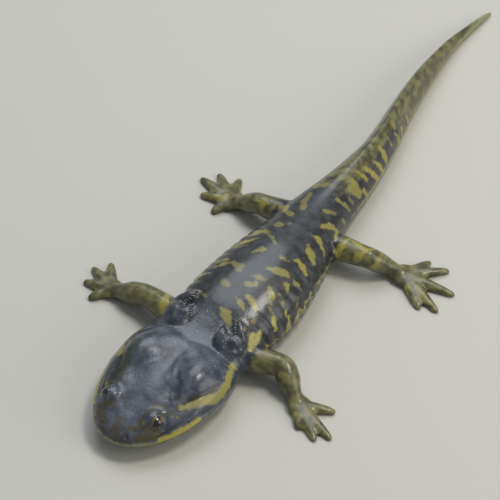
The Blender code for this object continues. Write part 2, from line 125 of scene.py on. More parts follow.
@dataclass(frozen=True)
class Profile:
    """A smooth size along the spine, with no overshoot between its knots.

    Attributes:
        knots: pairs of station and size.
    """

    knots: tuple[tuple[float, float], ...]

    def __call__(self, station: Points) -> Points:
        """Return the size at each station.

        Args:
            station: distances back from the tip of the snout.

        Returns:
            A size for each of them.
        """
        at, size = np.array(self.knots, dtype=float).T
        slope = np.diff(size) / np.diff(at)
        before, after = slope[:-1], slope[1:]
        same_way = before * after > 0.0
        inner = np.where(same_way, 2.0 * before * after / np.where(same_way, before + after, 1.0), 0.0)
        tangent = np.concatenate(([slope[0]], inner, [slope[-1]]))
        s = np.clip(station, at[0], at[-1])
        k = np.clip(np.searchsorted(at, s, side="right") - 1, 0, len(slope) - 1)
        step = at[k + 1] - at[k]
        t = (s - at[k]) / step
        start = size[k] * (1.0 + 2.0 * t) + tangent[k] * step * t
        end = size[k + 1] * (3.0 - 2.0 * t) - tangent[k + 1] * step * (1.0 - t)
        return start * (1.0 - t) ** 2 + end * t**2


@dataclass(frozen=True)
class BodyPlan:
    """The plain form of head, neck, trunk and tail.

    Attributes:
        spine: how far the spine lies to the left.
        half_width: half the section's width.
        back: height of the back.
        widest: height at which the section is widest.
        belly: height of the belly, under 0 where it lies flat.
        back_fullness: 2 for an elliptic back and more for a boxy one.
        belly_fullness: the same for the belly.
        mouth: height of the line between the lips.
        length: station of the tail's tip.
        snout_reach: how far the snout reaches in front of station 0.
        snout_rounding: length over which the snout widens.
        brow_rounding: length over which the snout's upper side rises.
        chin_rounding: length over which the chin falls away.
        snout_height: height of the tip of the snout.
        search_steps: corrections made when a station is looked for.
    """

    spine: Profile = Profile((
        (0, -1.8), (15, -0.9), (34, 0.1), (50, 0.5), (64, 1.8), (82, 3.0), (98, 2.8), (112, 1.8), (124, 1.2),
        (140, 1.5), (155, 1.1), (168, -0.6), (181, -3.1), (204, -6.5), (225, -7.8), (237, -7.0), (250, -5.5)))
    half_width: Profile = Profile((
        (0, 16.1), (9, 17.4), (15, 18.3), (22, 19.3), (30, 20.5), (36, 20.8), (42, 19.9), (47, 18.6),
        (52, 18.0), (60, 18.2), (70, 19.1), (82, 18.5), (92, 17.0), (102, 15.0), (113, 12.9), (122, 11.0),
        (134, 9.0), (147, 7.4), (162, 5.7), (181, 4.6), (204, 3.5), (220, 2.4), (234, 1.5), (246, 0.9),
        (250, 0.5)))
    back: Profile = Profile((
        (0, 12.2), (10, 13.0), (20, 15.0), (32, 17.0), (40, 17.4), (47, 16.6), (54, 17.8), (64, 20.2),
        (78, 21.6), (92, 21.0), (104, 19.4), (116, 17.8), (126, 17.0), (140, 16.6), (162, 15.6), (181, 13.9),
        (204, 10.9), (220, 7.8), (234, 5.0), (246, 2.9), (250, 1.6)))
    widest: Profile = Profile((
        (0, 6.3), (12, 6.6), (30, 7.5), (50, 7.8), (64, 8.6), (90, 8.8), (120, 7.6), (150, 6.2), (181, 4.8),
        (204, 3.8), (234, 1.9), (250, 0.8)))
    belly: Profile = Profile((
        (0, 1.4), (20, 0.9), (40, 0.1), (52, -0.8), (110, -0.9), (140, -0.5), (220, -0.4), (250, -0.1)))
    back_fullness: Profile = Profile((
        (0, 2.3), (14, 2.5), (34, 2.6), (50, 2.2), (80, 2.1), (112, 2.1), (135, 1.8), (165, 1.5), (250, 1.6)))
    belly_fullness: Profile = Profile((
        (0, 2.2), (34, 2.5), (80, 2.4), (120, 2.2), (150, 2.0), (250, 2.0)))
    mouth: Profile = Profile(((0, 6.2), (8, 6.5), (18, 7.2), (26, 8.0), (31, 8.0), (36, 7.2)))
    length: float = 249.9
    snout_reach: float = 0.6
    snout_rounding: float = 24.5
    brow_rounding: float = 15.0
    chin_rounding: float = 8.0
    snout_height: float = 6.6
    search_steps: int = 4

    def rounding(self, station: Points, length: float) -> Points:
        """Grow from 0 at the tip of the snout to 1 after the length, along a quarter of an ellipse."""
        ahead = np.clip(1.0 - (station + self.snout_reach) / length, 0.0, 1.0)
        return np.sqrt(1.0 - ahead**2)

    def rounded(self, station: Points, profile: Profile, length: float) -> Points:
        """Return a height that closes towards the snout's own height over the length."""
        return self.snout_height + (profile(station) - self.snout_height) * self.rounding(station, length)

    def width_at(self, station: Points) -> Points:
        """Return the half width of the section."""
        return self.half_width(station) * self.rounding(station, self.snout_rounding)

    def rings(self, stations: Points, count: int) -> Points:
        """Return the plain skin's rings of points, one per station.

        Args:
            stations: distances back from the tip of the snout.
            count: points in each ring.

        Returns:
            An array of stations by points by three.
        """
        s = stations[:, None]
        turn = np.linspace(0.0, 2.0 * np.pi, count, endpoint=False)[None, :]
        sine, cosine = np.sin(turn), np.cos(turn)
        over = sine >= 0.0
        top = self.rounded(s, self.back, self.brow_rounding)
        bottom = self.rounded(s, self.belly, self.chin_rounding)
        widest = self.rounded(s, self.widest, self.brow_rounding)
        power = np.where(over, 2.0 / self.back_fullness(s), 2.0 / self.belly_fullness(s))
        across = self.width_at(s) * np.sign(cosine) * np.abs(cosine) ** power
        up = widest + np.where(over, top - widest, widest - bottom) * np.sign(sine) * np.abs(sine) ** power
        return self.from_body(s + 0.0 * across, across, np.maximum(up, 0.0))

    def along(self, station: Points) -> Points:
        """Return how far the spine moves sideways per millimetre of station."""
        return self.spine(station + 0.5) - self.spine(station - 0.5)

    def from_body(self, station: Points, across: Points, up: Points) -> Points:
        """Return points of the bent body from their place along the straightened one.

        Args:
            station: distances back from the tip of the snout.
            across: distances to the left of the spine.
            up: heights above the floor.

        Returns:
            The points, sideways, back and up.
        """
        tilt = self.along(station)
        scale = np.hypot(tilt, 1.0)
        return np.stack((self.spine(station) + across / scale, station - across * tilt / scale, up), axis=-1)

    def to_body(self, points: Points) -> tuple[Points, Points, Points]:
        """Find the place of points along the straightened body.

        Args:
            points: points on or near the bent body, sideways, back and up.

        Returns:
            Their stations, distances across and heights.
        """
        x, y, up = np.moveaxis(np.asarray(points, dtype=float), -1, 0)
        station = y.copy()
        for _ in range(self.search_steps):
            tilt = self.along(station)
            station = station + ((x - self.spine(station)) * tilt + (y - station)) / (1.0 + tilt**2)
        tilt = self.along(station)
        across = ((x - self.spine(station)) - (y - station) * tilt) / np.hypot(tilt, 1.0)
        return station, across, up

    def back_point(self, station: float, offset: float, side: Side) -> tuple[Points, Points]:
        """Return a point of the plain back and its outward direction.

        Args:
            station: distance back from the tip of the snout.
            offset: distance from the spine.
            side: the side on which it lies.

        Returns:
            The point and a direction of length 1.
        """
        height, power = self.back(station) - self.widest(station), self.back_fullness(station)
        share = offset / self.half_width(station)
        up = height * (1.0 - share**power) ** (1.0 / power)
        spot = self.from_body(np.array(station), np.array(side.value * offset), self.widest(station) + up)
        slope = share ** (power - 1.0) / self.half_width(station)
        out = np.array([side.value * slope, 0.0, (up / height) ** (power - 1.0) / height])
        return spot, out / np.linalg.norm(out)


PLAN = BodyPlan()


FOLD_END = 0.3  # share of a fold's length over which it fades at each end


@dataclass(frozen=True)
class Stroke:
    """A marking, fold or groove laid along a line on the skin.

    Attributes:
        strength: vividness of a marking from dull 0 to bright 1, or the rise of a form.
        line: points of station, across, up and half width.
    """

    strength: float
    line: tuple[tuple[float, float, float, float], ...]

    def gaps(self, station: Points, across: Points, up: Points) -> tuple[Points, Points, Points]:
        """Measure places against the stroke's middle line.

        Args:
            station: distances back from the snout.
            across: distances to the left of the spine.
            up: heights above the floor.

        Returns:
            The distance to the line, the stroke's half width and the share of the line's length there.
        """
        place = np.stack((station, across, up), axis=-1)
        line = np.array(self.line, dtype=float)
        if len(line) == 1:
            line = np.repeat(line, 2, axis=0)
        lengths = np.linalg.norm(np.diff(line[:, :3], axis=0), axis=1) + 1e-6
        starts = np.concatenate(([0.0], np.cumsum(lengths))) / lengths.sum()
        gap = np.full(station.shape, np.inf)
        width, share = np.zeros(station.shape), np.zeros(station.shape)
        for k, (a, b) in enumerate(zip(line, line[1:])):
            span = b[:3] - a[:3]
            t = np.clip((place - a[:3]) @ span / lengths[k] ** 2, 0.0, 1.0)
            away = np.linalg.norm(place - a[:3] - t[..., None] * span, axis=-1)
            half = a[3] + (b[3] - a[3]) * t
            nearer = away - half < gap - width
            gap, width = np.where(nearer, away, gap), np.where(nearer, half, width)
            share = np.where(nearer, starts[k] + (starts[k + 1] - starts[k]) * t, share)
        return gap, width, share

    def inside(self, station: Points, across: Points, up: Points) -> Points:
        """Return how far inside the stroke each place lies, in millimetres, negative outside."""
        gap, width, _ = self.gaps(station, across, up)
        return width - gap

    def rise(self, station: Points, across: Points, up: Points) -> Points:
        """Return the height of a fold or groove, which fades towards both ends of its line.

        Args:
            station: distances back from the snout.
            across: distances to the left of the spine.
            up: heights above the floor.

        Returns:
            A height for each place, negative in a groove.
        """
        gap, width, share = self.gaps(station, across, up)
        ends = ramp(share, 0.0, FOLD_END) * ramp(1.0 - share, 0.0, FOLD_END)
        return self.strength * bump(gap, 1.0) ** (1.0 / width**2) * ends

    def mirrored(self, along: float = 0.0) -> "Stroke":
        """Return the same stroke on the other side, moved along the body."""
        return Stroke(self.strength, tuple((s + along, -a, u, w) for s, a, u, w in self.line))


def strokes(*rows: tuple) -> tuple[Stroke, ...]:
    """Return a stroke for each row of strength and line."""
    return tuple(Stroke(strength, line) for strength, line in rows)


def on_skin(strength: float, width: float, *points: tuple[float, float, float]) -> Stroke:
    """Make a stroke of one width through points of the bent body.

    Args:
        strength: vividness of a marking, or rise of a form.
        width: half its width.
        points: places, sideways, back and up.

    Returns:
        The stroke.
    """
    rows = []
    for point in points:
        station, across, up = PLAN.to_body(np.array(point))
        rows.append((float(station), float(across), float(up), width))
    return Stroke(strength, tuple(rows))


# Blotches and bars of the back, the flanks, the tail and the legs. Those far out on the left are mirrored too
BARS = strokes(
    (0.35, ((128, -5.0, 15, 1.7), (129, -2.8, 16, 1.5))),
    (0.3, ((123, -4.3, 16, 0.8), (119, -4.1, 17, 1.2), (115, -2.5, 18, 1.1))),
    (0.3, ((111, -7.4, 17, 0.6), (110, -4.7, 18, 1.4))),
    (0.3, ((103, -5.6, 19, 1.5), (103, -5.2, 19, 1.4))),
    (0.25, ((105, -2.3, 19, 0.7), (105, -2.1, 19, 0.7))),
    (0.35, ((97, -9.7, 18, 0.5), (97, -6.8, 19, 1.0), (95, -3.4, 20, 0.7), (93, -1.0, 21, 0.2))),
    (0.15, ((92, -9.4, 19, 0.3), (93, -7.1, 20, 0.4))),
    (0.2, ((87, -11.4, 19, 0.6), (88, -9.4, 19, 0.6))),
    (0.4, ((85, -5.3, 21, 0.3), (87, -4.1, 21, 0.7), (88, -3.0, 21, 1.4))),
    (0.25, ((78, -9.0, 20, 0.6), (77, -5.2, 21, 1.8), (75, -3.0, 21, 0.7))),
    (0.5, ((89, 4.1, 21, 0.6), (89, 6.4, 20, 0.6))),
    (0.45, ((82, 3.6, 21, 0.6), (83, 6.1, 21, 1.5), (84, 8.8, 20, 1.4), (84, 10.2, 19, 0.6))),
    (0.35, ((76, 0.7, 21, 0.5), (77, 3.0, 21, 1.0), (77, 5.0, 21, 1.0))),
    (0.45, ((72, 1.8, 21, 0.9), (74, 4.2, 21, 1.1))),
    (0.3, ((69, -5.5, 20, 1.0), (68, -3.3, 21, 1.0))),
    (0.15, ((61, -7.6, 19, 0.8), (61, -7.1, 19, 0.8))),
    (0.7, ((92, 9.4, 19, 0.6), (91, 11.5, 18, 1.4), (90, 13.3, 17, 0.9))),
    (0.65, ((91, 8.0, 20, 0.3), (92, 9.4, 19, 0.6))),
    (0.6, ((100, 8.0, 19, 0.6), (98, 10.4, 18, 1.7), (96, 12.5, 16, 0.9))),
    (0.65, ((105, 6.3, 18, 0.4), (105, 9.0, 17, 1.2), (104, 11.2, 16, 1.0), (102, 13.2, 14, 0.3))),
    (0.55, ((111, 7.1, 17, 0.8), (114, 9.0, 15, 1.4), (115, 10.8, 13, 1.0), (111, 12.7, 13, 0.4))),
    (0.3, ((118, 4.3, 17, 0.8), (120, 6.9, 15, 1.0))),
    (0.4, ((126, 5.0, 16, 0.6), (127, 7.3, 14, 0.9), (128, 9.3, 11, 0.5))),
    (0.25, ((131, 7.2, 13, 0.9), (131, 7.7, 12, 0.9))),
    (0.4, ((122, 9.8, 12, 0.8), (122, 10.2, 11, 0.8))),
    (0.6, ((81, 10.7, 19, 0.6), (81, 12.1, 19, 0.9), (79, 13.6, 18, 0.3))),
    (0.45, ((84, 13.1, 18, 0.9), (84, 13.7, 17, 0.9))),
    (0.6, ((76, 8.5, 20, 0.6), (75, 10.7, 19, 1.2), (72, 12.7, 18, 0.5))),
    (0.5, ((71, 12.5, 18, 0.4), (70, 14.3, 17, 0.3))),
    (0.4, ((77, 12.4, 19, 0.4), (75, 15.4, 16, 0.4))),
    (0.6, ((69, 4.7, 21, 0.7), (68, 7.5, 20, 1.4), (66, 11.0, 18, 0.5))),
    (0.4, ((66, 2.5, 20, 0.5), (65, 5.1, 20, 1.1), (64, 7.7, 19, 0.6))),
    (0.45, ((60, 0.8, 19, 0.5), (59, 3.8, 19, 1.8), (57, 7.1, 18, 1.0))),
    (0.35, ((63, 12.0, 18, 0.6), (63, 12.4, 17, 0.6))),
    (0.95, ((71, 14.8, 17, 0.4), (69, 16.5, 15, 1.0), (68, 17.7, 13, 0.6))),
    (0.95, ((75, 16.4, 15, 0.6), (74, 17.4, 14, 0.6))),
    (1.0, ((75, 17.5, 13, 0.5), (74, 18.5, 11, 0.9), (73, 18.9, 9, 0.6))),
    (0.8, ((81, 16.3, 15, 0.3), (79, 17.5, 13, 0.3))),
    (1.0, ((80, 17.9, 11, 0.5), (78, 18.5, 10, 0.7), (76, 18.5, 8, 0.4))),
    (0.95, ((88, 16.9, 11, 0.6), (85, 17.7, 11, 0.6), (82, 18.3, 10, 0.5), (80, 18.3, 10, 0.3))),
    (0.7, ((102, 14.7, 9, 0.6), (98, 15.6, 10, 0.8), (93, 16.3, 11, 0.6))),
    (0.95, ((63, 15.4, 15, 0.7), (61, 16.1, 14, 1.2), (59, 16.4, 13, 0.7))),
    (1.0, ((60, 14.4, 15, 0.8), (58, 15.7, 14, 1.2), (56, 16.9, 13, 1.0))),
    (0.5, ((61, 9.3, 18, 0.5), (58, 13.0, 19, 0.5))),
    (0.5, ((135, 5.2, 14, 2.0), (136, 7.2, 12, 1.8))),
    (0.55, ((137, 3.8, 15, 1.3), (136, 5.8, 13, 1.8), (136, 7.7, 11, 1.0))),
    (0.75, ((139, 7.2, 11, 0.6), (140, 8.0, 6, 1.1))),
    (0.7, ((141, 2.2, 16, 0.3), (142, 4.5, 14, 0.7), (143, 6.2, 12, 0.7))),
    (0.85, ((145, 3.5, 15, 0.4), (147, 5.8, 11, 1.3), (149, 7.0, 7, 0.9))),
    (0.9, ((150, 3.2, 14, 0.3), (152, 5.2, 11, 0.9), (153, 6.4, 7, 0.9))),
    (0.75, ((157, 2.8, 14, 0.7), (157, 4.5, 11, 1.5), (157, 5.8, 8, 0.8))),
    (0.6, ((163, 2.9, 13, 0.3), (163, 4.5, 10, 0.5))),
    (0.65, ((168, 3.8, 11, 0.3), (169, 4.9, 7, 0.7), (167, 5.3, 6, 0.4))),
    (0.45, ((170, 1.7, 14, 0.8), (169, 3.2, 12, 0.8))),
    (0.75, ((173, 4.0, 9, 0.7), (172, 4.7, 7, 0.7))),
    (0.65, ((179, 3.8, 9, 0.7), (179, 4.6, 6, 0.9))),
    (0.3, ((176, 1.9, 13, 0.7), (176, 2.0, 13, 0.7))),
    (0.8, ((114, 16.1, 12, 0.8), (110, 15.3, 12, 1.2), (108, 15.1, 11, 1.2), (108, 15.3, 9, 0.8))),
    (0.65, ((114, 16.1, 12, 0.6), (114, 20.2, 12, 0.9), (113, 23.4, 12, 1.1), (116, 25.6, 11, 0.3))),
    (0.65, ((111, 22.7, 11, 1.2), (109, 22.0, 10, 1.4))),
    (0.6, ((117, 28.0, 9, 0.8), (113, 28.4, 9, 1.1), (111, 27.7, 7, 1.1))),
    (0.75, ((113, 40.3, 2, 1.1), (110, 42.3, 1, 0.8))),
    (0.55, ((108, 44.4, 1, 0.8), (106, 48.0, 1, 0.5))),
    (0.4, ((114, 43.3, 3, 0.9), (111, 48.2, 2, 1.4), (109, 53.4, 1, 0.6))),
    (0.6, ((131, 46.7, 2, 0.5), (132, 47.6, 1, 0.4))),
    (0.35, ((57, 28.8, 9, 0.7), (58, 31.8, 9, 0.7))),
    (0.4, ((53, 35.9, 3, 0.6), (49, 40.2, 2, 0.6))),
    (0.7, ((48, 40.4, 2, 1.0), (46, 44.1, 1, 1.0), (43, 51.1, 1, 0.5))),
    (0.4, ((50, 47.4, 3, 0.3), (48, 52.9, 2, 0.3), (47, 54.9, 1, 0.5))),
    (0.45, ((57, 21.7, 12, 0.2), (60, 23.8, 12, 0.2), (61, 27.3, 11, 0.2), (61, 33.7, 7, 0.2))),
    (0.75, ((57, -20.9, 12, 0.9), (54, -19.1, 12, 1.8), (52, -18.3, 11, 1.3))),
    (0.35, ((55, -26.0, 12, 0.7), (53, -25.0, 11, 0.7))),
    (0.25, ((55, -29.7, 11, 0.5), (53, -29.2, 10, 0.5))),
    (0.55, ((115, -18.1, 12, 1.3), (113, -18.3, 10, 1.2))),
    (0.5, ((116, -38.4, 3, 1.1), (117, -35.3, 3, 1.5))),
    (0.4, ((116, -42.5, 2, 0.7), (116, -39.2, 2, 0.8))),
    (0.3, ((118, -30.7, 5, 0.8), (117, -25.8, 10, 0.9))),)

# Yellow of the head: the bright stripe of the lip, the pale bands of cheek and jaw, and flecks round the eye
FACE = (
    on_skin(0.85, 1.2, (12.9, 8.0, 7.9), (14.8, 11.8, 8.2), (17.7, 18.3, 8.8), (19.2, 22.0, 8.9)),
    on_skin(0.6, 1.1, (12.9, 20.4, 12.9), (14.6, 23.2, 13.1), (17.2, 26.8, 12.9)),
    on_skin(0.62, 1.7, (17.2, 26.8, 12.9), (19.6, 31.6, 11.8), (20.2, 35.0, 11.8), (18.9, 39.3, 12.6)),
    on_skin(0.65, 1.2, (18.9, 39.3, 12.6), (17.4, 43.0, 12.4), (16.0, 46.0, 12.0)),
    on_skin(0.6, 0.5, (12.4, 16.0, 12.0), (13.4, 17.2, 11.6)),
    on_skin(0.5, 0.45, (5.4, 10.4, 12.6), (6.4, 8.6, 12.0)),
    on_skin(0.5, 0.4, (10.8, 7.6, 10.2), (12.2, 9.4, 9.8)),
    on_skin(0.55, 0.5, (-13.6, 15.2, 11.6), (-14.4, 17.0, 11.4)),
)

# Yellow lines that the bars run into: low on the flank, and along the tail's lower edge
EDGES = strokes(
    (0.85, ((60, 17.6, 9.0, 0.4), (68, 18.8, 8.6, 0.5), (78, 18.7, 8.4, 0.4), (88, 17.4, 8.6, 0.35))),
    (0.7, ((88, 17.4, 8.6, 0.35), (98, 15.6, 8.8, 0.35), (106, 14.0, 9.2, 0.3))),
    (0.6, ((128, 9.5, 8.0, 0.3), (140, 8.1, 7.2, 0.6), (150, 7.0, 6.6, 0.7), (165, 5.5, 5.6, 0.8))),
    (0.45, (
        (165, 5.5, 5.6, 0.8), (181, 4.6, 4.8, 0.9), (204, 3.5, 3.8, 1.0), (225, 2.1, 2.4, 0.8),
        (242, 1.1, 1.2, 0.5))),
)

# The head's other patches: dark green behind the eyes, partly painted shade on the right side and along the
# left cheek groove; brown snout; pale edges of the cheek; painted shade in the creases and between the gill
# lobes, with a few dark patches
PATCHES = {
    # Dark green, and painted shade on the head's right side and in the left cheek groove
    Paint.MOSS: (
        on_skin(1, 2.6, (-12.4, 17.5, 13.2), (-14.4, 25.7, 14.6), (-13.2, 33.0, 16.0)),
        on_skin(1, 1.2, (-12.1, 19.0, 14.0), (-11.6, 26.0, 16.4)),
        on_skin(1, 1.2, (14.0, 24.2, 14.1), (18.2, 33.0, 13.6)),
        on_skin(1, 1.0, (8.0, 13.2, 13.4), (11.5, 16.8, 13.2)),
    ),
    Paint.UMBER: (
        on_skin(1, 0.8, (-1.6, 6.6, 11.9), (-2.1, 2.6, 10.4), (1.5, 1.5, 9.6)),
        on_skin(1, 1.5, (6.7, 3.6, 9.6), (11.6, 8.5, 9.4)),
        on_skin(1, 1.5, (-7.5, 3.6, 10.0), (-11.0, 8.0, 10.0)),
        on_skin(1, 0.8, (2.5, 4.5, 11.0), (6.0, 7.5, 11.6)),
        on_skin(1, 1.2, (5.4, 9.6, 12.2), (8.4, 8.2, 11.4), (11.8, 9.4, 10.2)),
        on_skin(1, 0.9, (5.0, 12.0, 12.8), (6.0, 16.0, 13.6), (9.0, 17.6, 13.2)),
        on_skin(1, 1.0, (-7.6, 9.6, 12.2), (-10.6, 8.4, 11.4)),
    ),
    Paint.PALE: (
        on_skin(1, 1.5, (14.8, 22.6, 13.0), (17.4, 27.0, 12.9), (19.8, 32.2, 11.8), (19.6, 37.2, 12.2)),
        on_skin(1, 1.2, (19.2, 38.4, 12.4), (17.4, 43.0, 12.4), (16.4, 46.0, 11.0)),
    ),
    # Painted shade in the grooves under the eye and along the cheek, on the head's right side and in the
    # slits between the gill lobes, and a few dark patches behind the eye
    Paint.SOOT: (
        on_skin(1, 0.5, (11.6, 8.8, 9.3), (14.7, 14.3, 10.2)),
        on_skin(1, 0.9, (6.9, 19.9, 14.7), (10.5, 22.3, 14.6)),
        on_skin(1, 0.8, (9.7, 26.9, 16.2), (7.4, 28.0, 16.6)),
        on_skin(1, 0.7, (13.2, 28.9, 16.2)),
        on_skin(1, 0.5, (13.0, 21.5, 13.7), (16.6, 28.7, 14.6), (18.0, 34.9, 14.5)),
        on_skin(1, 1.4, (-13.4, 19.0, 13.0), (-14.8, 26.5, 14.4), (-14.0, 32.0, 15.6)),
        on_skin(1, 0.6, (8.3, 57.4, 17.5), (14.4, 53.5, 15.5)),
    ),
}


def as_data(name: str, mesh: bmesh.types.BMesh) -> bpy.types.Mesh:
    """Turn a working mesh into a kept one and free it.

    Args:
        name: the kept mesh's name.
        mesh: the working mesh.

    Returns:
        The kept mesh.
    """
    data = bpy.data.meshes.new(name)
    mesh.to_mesh(data)
    mesh.free()
    return data


def link(name: str, data: bpy.types.ID) -> bpy.types.Object:
    """Add an object to the scene.

    Args:
        name: the object's name.
        data: its mesh, light or camera.

    Returns:
        The object, at the origin.
    """
    thing = bpy.data.objects.new(name, data)
    bpy.context.scene.collection.objects.link(thing)
    return thing


def get_points(mesh: bmesh.types.BMesh) -> Points:
    """Return the places of a mesh's points."""
    return np.array([vert.co for vert in mesh.verts])


def set_points(mesh: bmesh.types.BMesh, points: Points) -> None:
    """Move each point of a mesh to its new place."""
    for vert, point in zip(mesh.verts, points):
        vert.co = point


def soften(mesh: bmesh.types.BMesh, verts: list[bmesh.types.BMVert], times: int) -> None:
    """Smooth some points of a mesh a number of times.

    Args:
        mesh: the mesh.
        verts: those of its points that move.
        times: how often they move.
    """
    for _ in range(times):
        bmesh.ops.smooth_vert(
            mesh, verts=verts, factor=0.5, use_axis_x=True, use_axis_y=True, use_axis_z=True)


def limb_rings(
    points: Points, radii: tuple[float, ...], count: int, spacing: float, flatten: float = 1.0,
    normal: Points = UPWARDS, reach: float = 2.8,
) -> Points:
    """Return rings square to a smooth curve through points.

    Args:
        points: joints of the curve.
        radii: radius at each joint.
        count: points in a ring.
        spacing: distance between rings.
        flatten: width of a section over its height.
        normal: the direction that the sections count as up.
        reach: how far to each side a ring looks for the curve's direction.

    Returns:
        An array of rings by points by three.
    """
    lengths = np.concatenate(([0.0], np.cumsum(np.linalg.norm(np.diff(points, axis=0), axis=1))))
    axes = [Profile(tuple(zip(lengths, points[:, k]))) for k in range(3)]
    run = np.linspace(0.0, lengths[-1], max(4, round(lengths[-1] / spacing) + 1))
    centre = np.stack([axis(run) for axis in axes], axis=-1)
    ahead = np.stack([axis(run + reach) - axis(run - reach) for axis in axes], axis=-1)
    side = np.cross(ahead, normal)
    side /= np.linalg.norm(side, axis=-1, keepdims=True)
    lift = np.cross(side, ahead)
    lift /= np.linalg.norm(lift, axis=-1, keepdims=True)
    radius = Profile(tuple(zip(lengths, radii)))(run)[:, None, None]
    turn = np.linspace(0.0, 2.0 * np.pi, count, endpoint=False)[None, :, None]
    swept = side[:, None] * flatten * np.cos(turn) + lift[:, None] * np.sin(turn)
    return centre[:, None] + radius * swept


def add_tube(mesh: bmesh.types.BMesh, rings: Points) -> None:
    """Roll a grid into a closed tube through rings of points and add it to a mesh.

    Args:
        mesh: the mesh that gets the tube.
        rings: an array of rings by points by three.
    """
    rows, count = rings.shape[:2]
    roll = bmesh.new()
    bmesh.ops.create_grid(roll, x_segments=count, y_segments=rows - 1, size=1.0)
    set_points(roll, np.concatenate((rings, rings[:, :1]), axis=1).reshape(-1, 3))
    bmesh.ops.remove_doubles(roll, verts=roll.verts, dist=1e-4)
    bmesh.ops.holes_fill(roll, edges=[e for e in roll.edges if e.is_boundary], sides=0)
    bmesh.ops.recalc_face_normals(roll, faces=roll.faces)
    loose = as_data("tube", roll)
    mesh.from_mesh(loose)
    bpy.data.meshes.remove(loose)


@dataclass(frozen=True)
class Limb:
    """A leg that runs in one bent curve to a palm with spread digits.

    Attributes:
        name: the leg's own name.
        joints: root, knee, ankle and palm.
        radii: radii at the root, mid upper leg, knee, calf, ankle and palm.
        digits: tips of the digits on the floor.
        spread: half the palm's width.
        digit_radii: radii along a digit.
        digit_shares: where along a digit those radii are.
        digit_heights: heights of a digit's middle line there.
        digit_flatness: width of a digit over its height.
        palm_thickness: height of the palm.
        palm_stretch: length of the palm over its width.
        upper_middle: share of the upper leg at which its middle radius is.
        calf: share of the lower leg at which the calf is.
    """

    name: str
    joints: tuple[tuple[float, float, float], ...]
    radii: tuple[float, ...]
    digits: tuple[tuple[float, float], ...]
    spread: float
    digit_radii: tuple[float, ...] = (1.9, 1.55, 1.0, 0.4)
    digit_shares: tuple[float, ...] = (0.12, 0.52, 0.94, 1.0)
    digit_heights: tuple[float, ...] = (1.5, 1.35, 0.75, 0.6)
    digit_flatness: float = 1.3
    palm_thickness: float = 3.4
    palm_stretch: float = 1.08
    upper_middle: float = 0.5
    calf: float = 0.45

    def axis(self) -> Points:
        """Find the points that the leg's curve runs through.

        Returns:
            Root, mid upper leg, knee, calf, ankle and palm.
        """
        root, knee, ankle, palm = (Vector(j) for j in self.joints)
        upper, lower = root.lerp(knee, self.upper_middle), knee.lerp(ankle, self.calf)
        return np.array([root, upper, knee, lower, ankle, palm])

    def build(self, mesh: bmesh.types.BMesh) -> None:
        """Add the leg, the palm and the digits to a mesh.

        Args:
            mesh: the mesh that gets them.
        """
        add_tube(mesh, limb_rings(self.axis(), self.radii, count=40, spacing=0.7))
        _, _, ankle, palm = (Vector(j) for j in self.joints)
        toward = palm - ankle
        heading = Matrix.Rotation(np.arctan2(toward.y, toward.x), 4, "Z")
        half = (self.palm_stretch * self.spread, self.spread, 0.5 * self.palm_thickness)
        place = Matrix.Translation(palm) @ heading @ Matrix.Diagonal((*half, 1.0))
        bmesh.ops.create_uvsphere(mesh, u_segments=40, v_segments=20, radius=1.0, matrix=place)
        for tip in self.digits:
            spots = (palm.xy.lerp(Vector(tip), share) for share in self.digit_shares)
            line = np.array([(*spot, height) for spot, height in zip(spots, self.digit_heights)])
            add_tube(mesh, limb_rings(line, self.digit_radii, 20, spacing=0.5, flatten=self.digit_flatness))


@dataclass(frozen=True)
class Gills:
    """Three short fleshy lobes on each side of the neck, which lean back from one ridge.

    Attributes:
        lobes: station and offset from the spine of each lobe's root and tip.
        radii: radii along a lobe.
        flatness: width of a lobe over its thickness.
        lifts: heights of a lobe's middle line above the neck, from root to tip.
        ridge_radii: radii of the ridge at each lobe's root.
        ridge_flatness: width of the ridge over its height.
    """

    lobes: tuple = (((47.6, 9.4), (54.6, 6.4)), ((49.4, 13.6), (54.2, 10.6)), ((53.6, 15.0), (59.6, 8.6)))
    radii: tuple[float, ...] = (1.0, 1.45, 1.5, 1.1, 0.35)
    flatness: float = 1.45
    lifts: tuple[float, ...] = (0.2, 1.3, 1.9, 2.1, 1.9)
    ridge_radii: tuple[float, ...] = (1.3, 1.6, 1.3)
    ridge_flatness: float = 1.2

    def line(self, lobe: tuple, side: Side) -> tuple[Points, Points]:
        """Return the middle line of a lobe.

        Args:
            lobe: station and offset of its root and tip.
            side: the side of the neck.

        Returns:
            The line's points and the direction out of the neck halfway.
        """
        root, tip = np.array(lobe)
        points = []
        for share, lift in zip(np.linspace(0.0, 1.0, len(self.lifts)), self.lifts):
            spot, out = PLAN.back_point(*(root * (1.0 - share) + tip * share), side)
            points.append(spot + out * lift)
        return np.array(points), PLAN.back_point(*(0.5 * (root + tip)), side)[1]

    def build(self, mesh: bmesh.types.BMesh, side: Side) -> None:
        """Add the lobes and their ridge on one side to a mesh.

        Args:
            mesh: the mesh that gets them.
            side: the side of the neck.
        """
        roots = []
        for lobe in self.lobes:
            points, out = self.line(lobe, side)
            add_tube(mesh, limb_rings(points, self.radii, 24, 0.5, self.flatness, out))
            roots.append(points[0])
        add_tube(mesh, limb_rings(np.array(roots), self.ridge_radii, 20, 0.6, self.ridge_flatness))


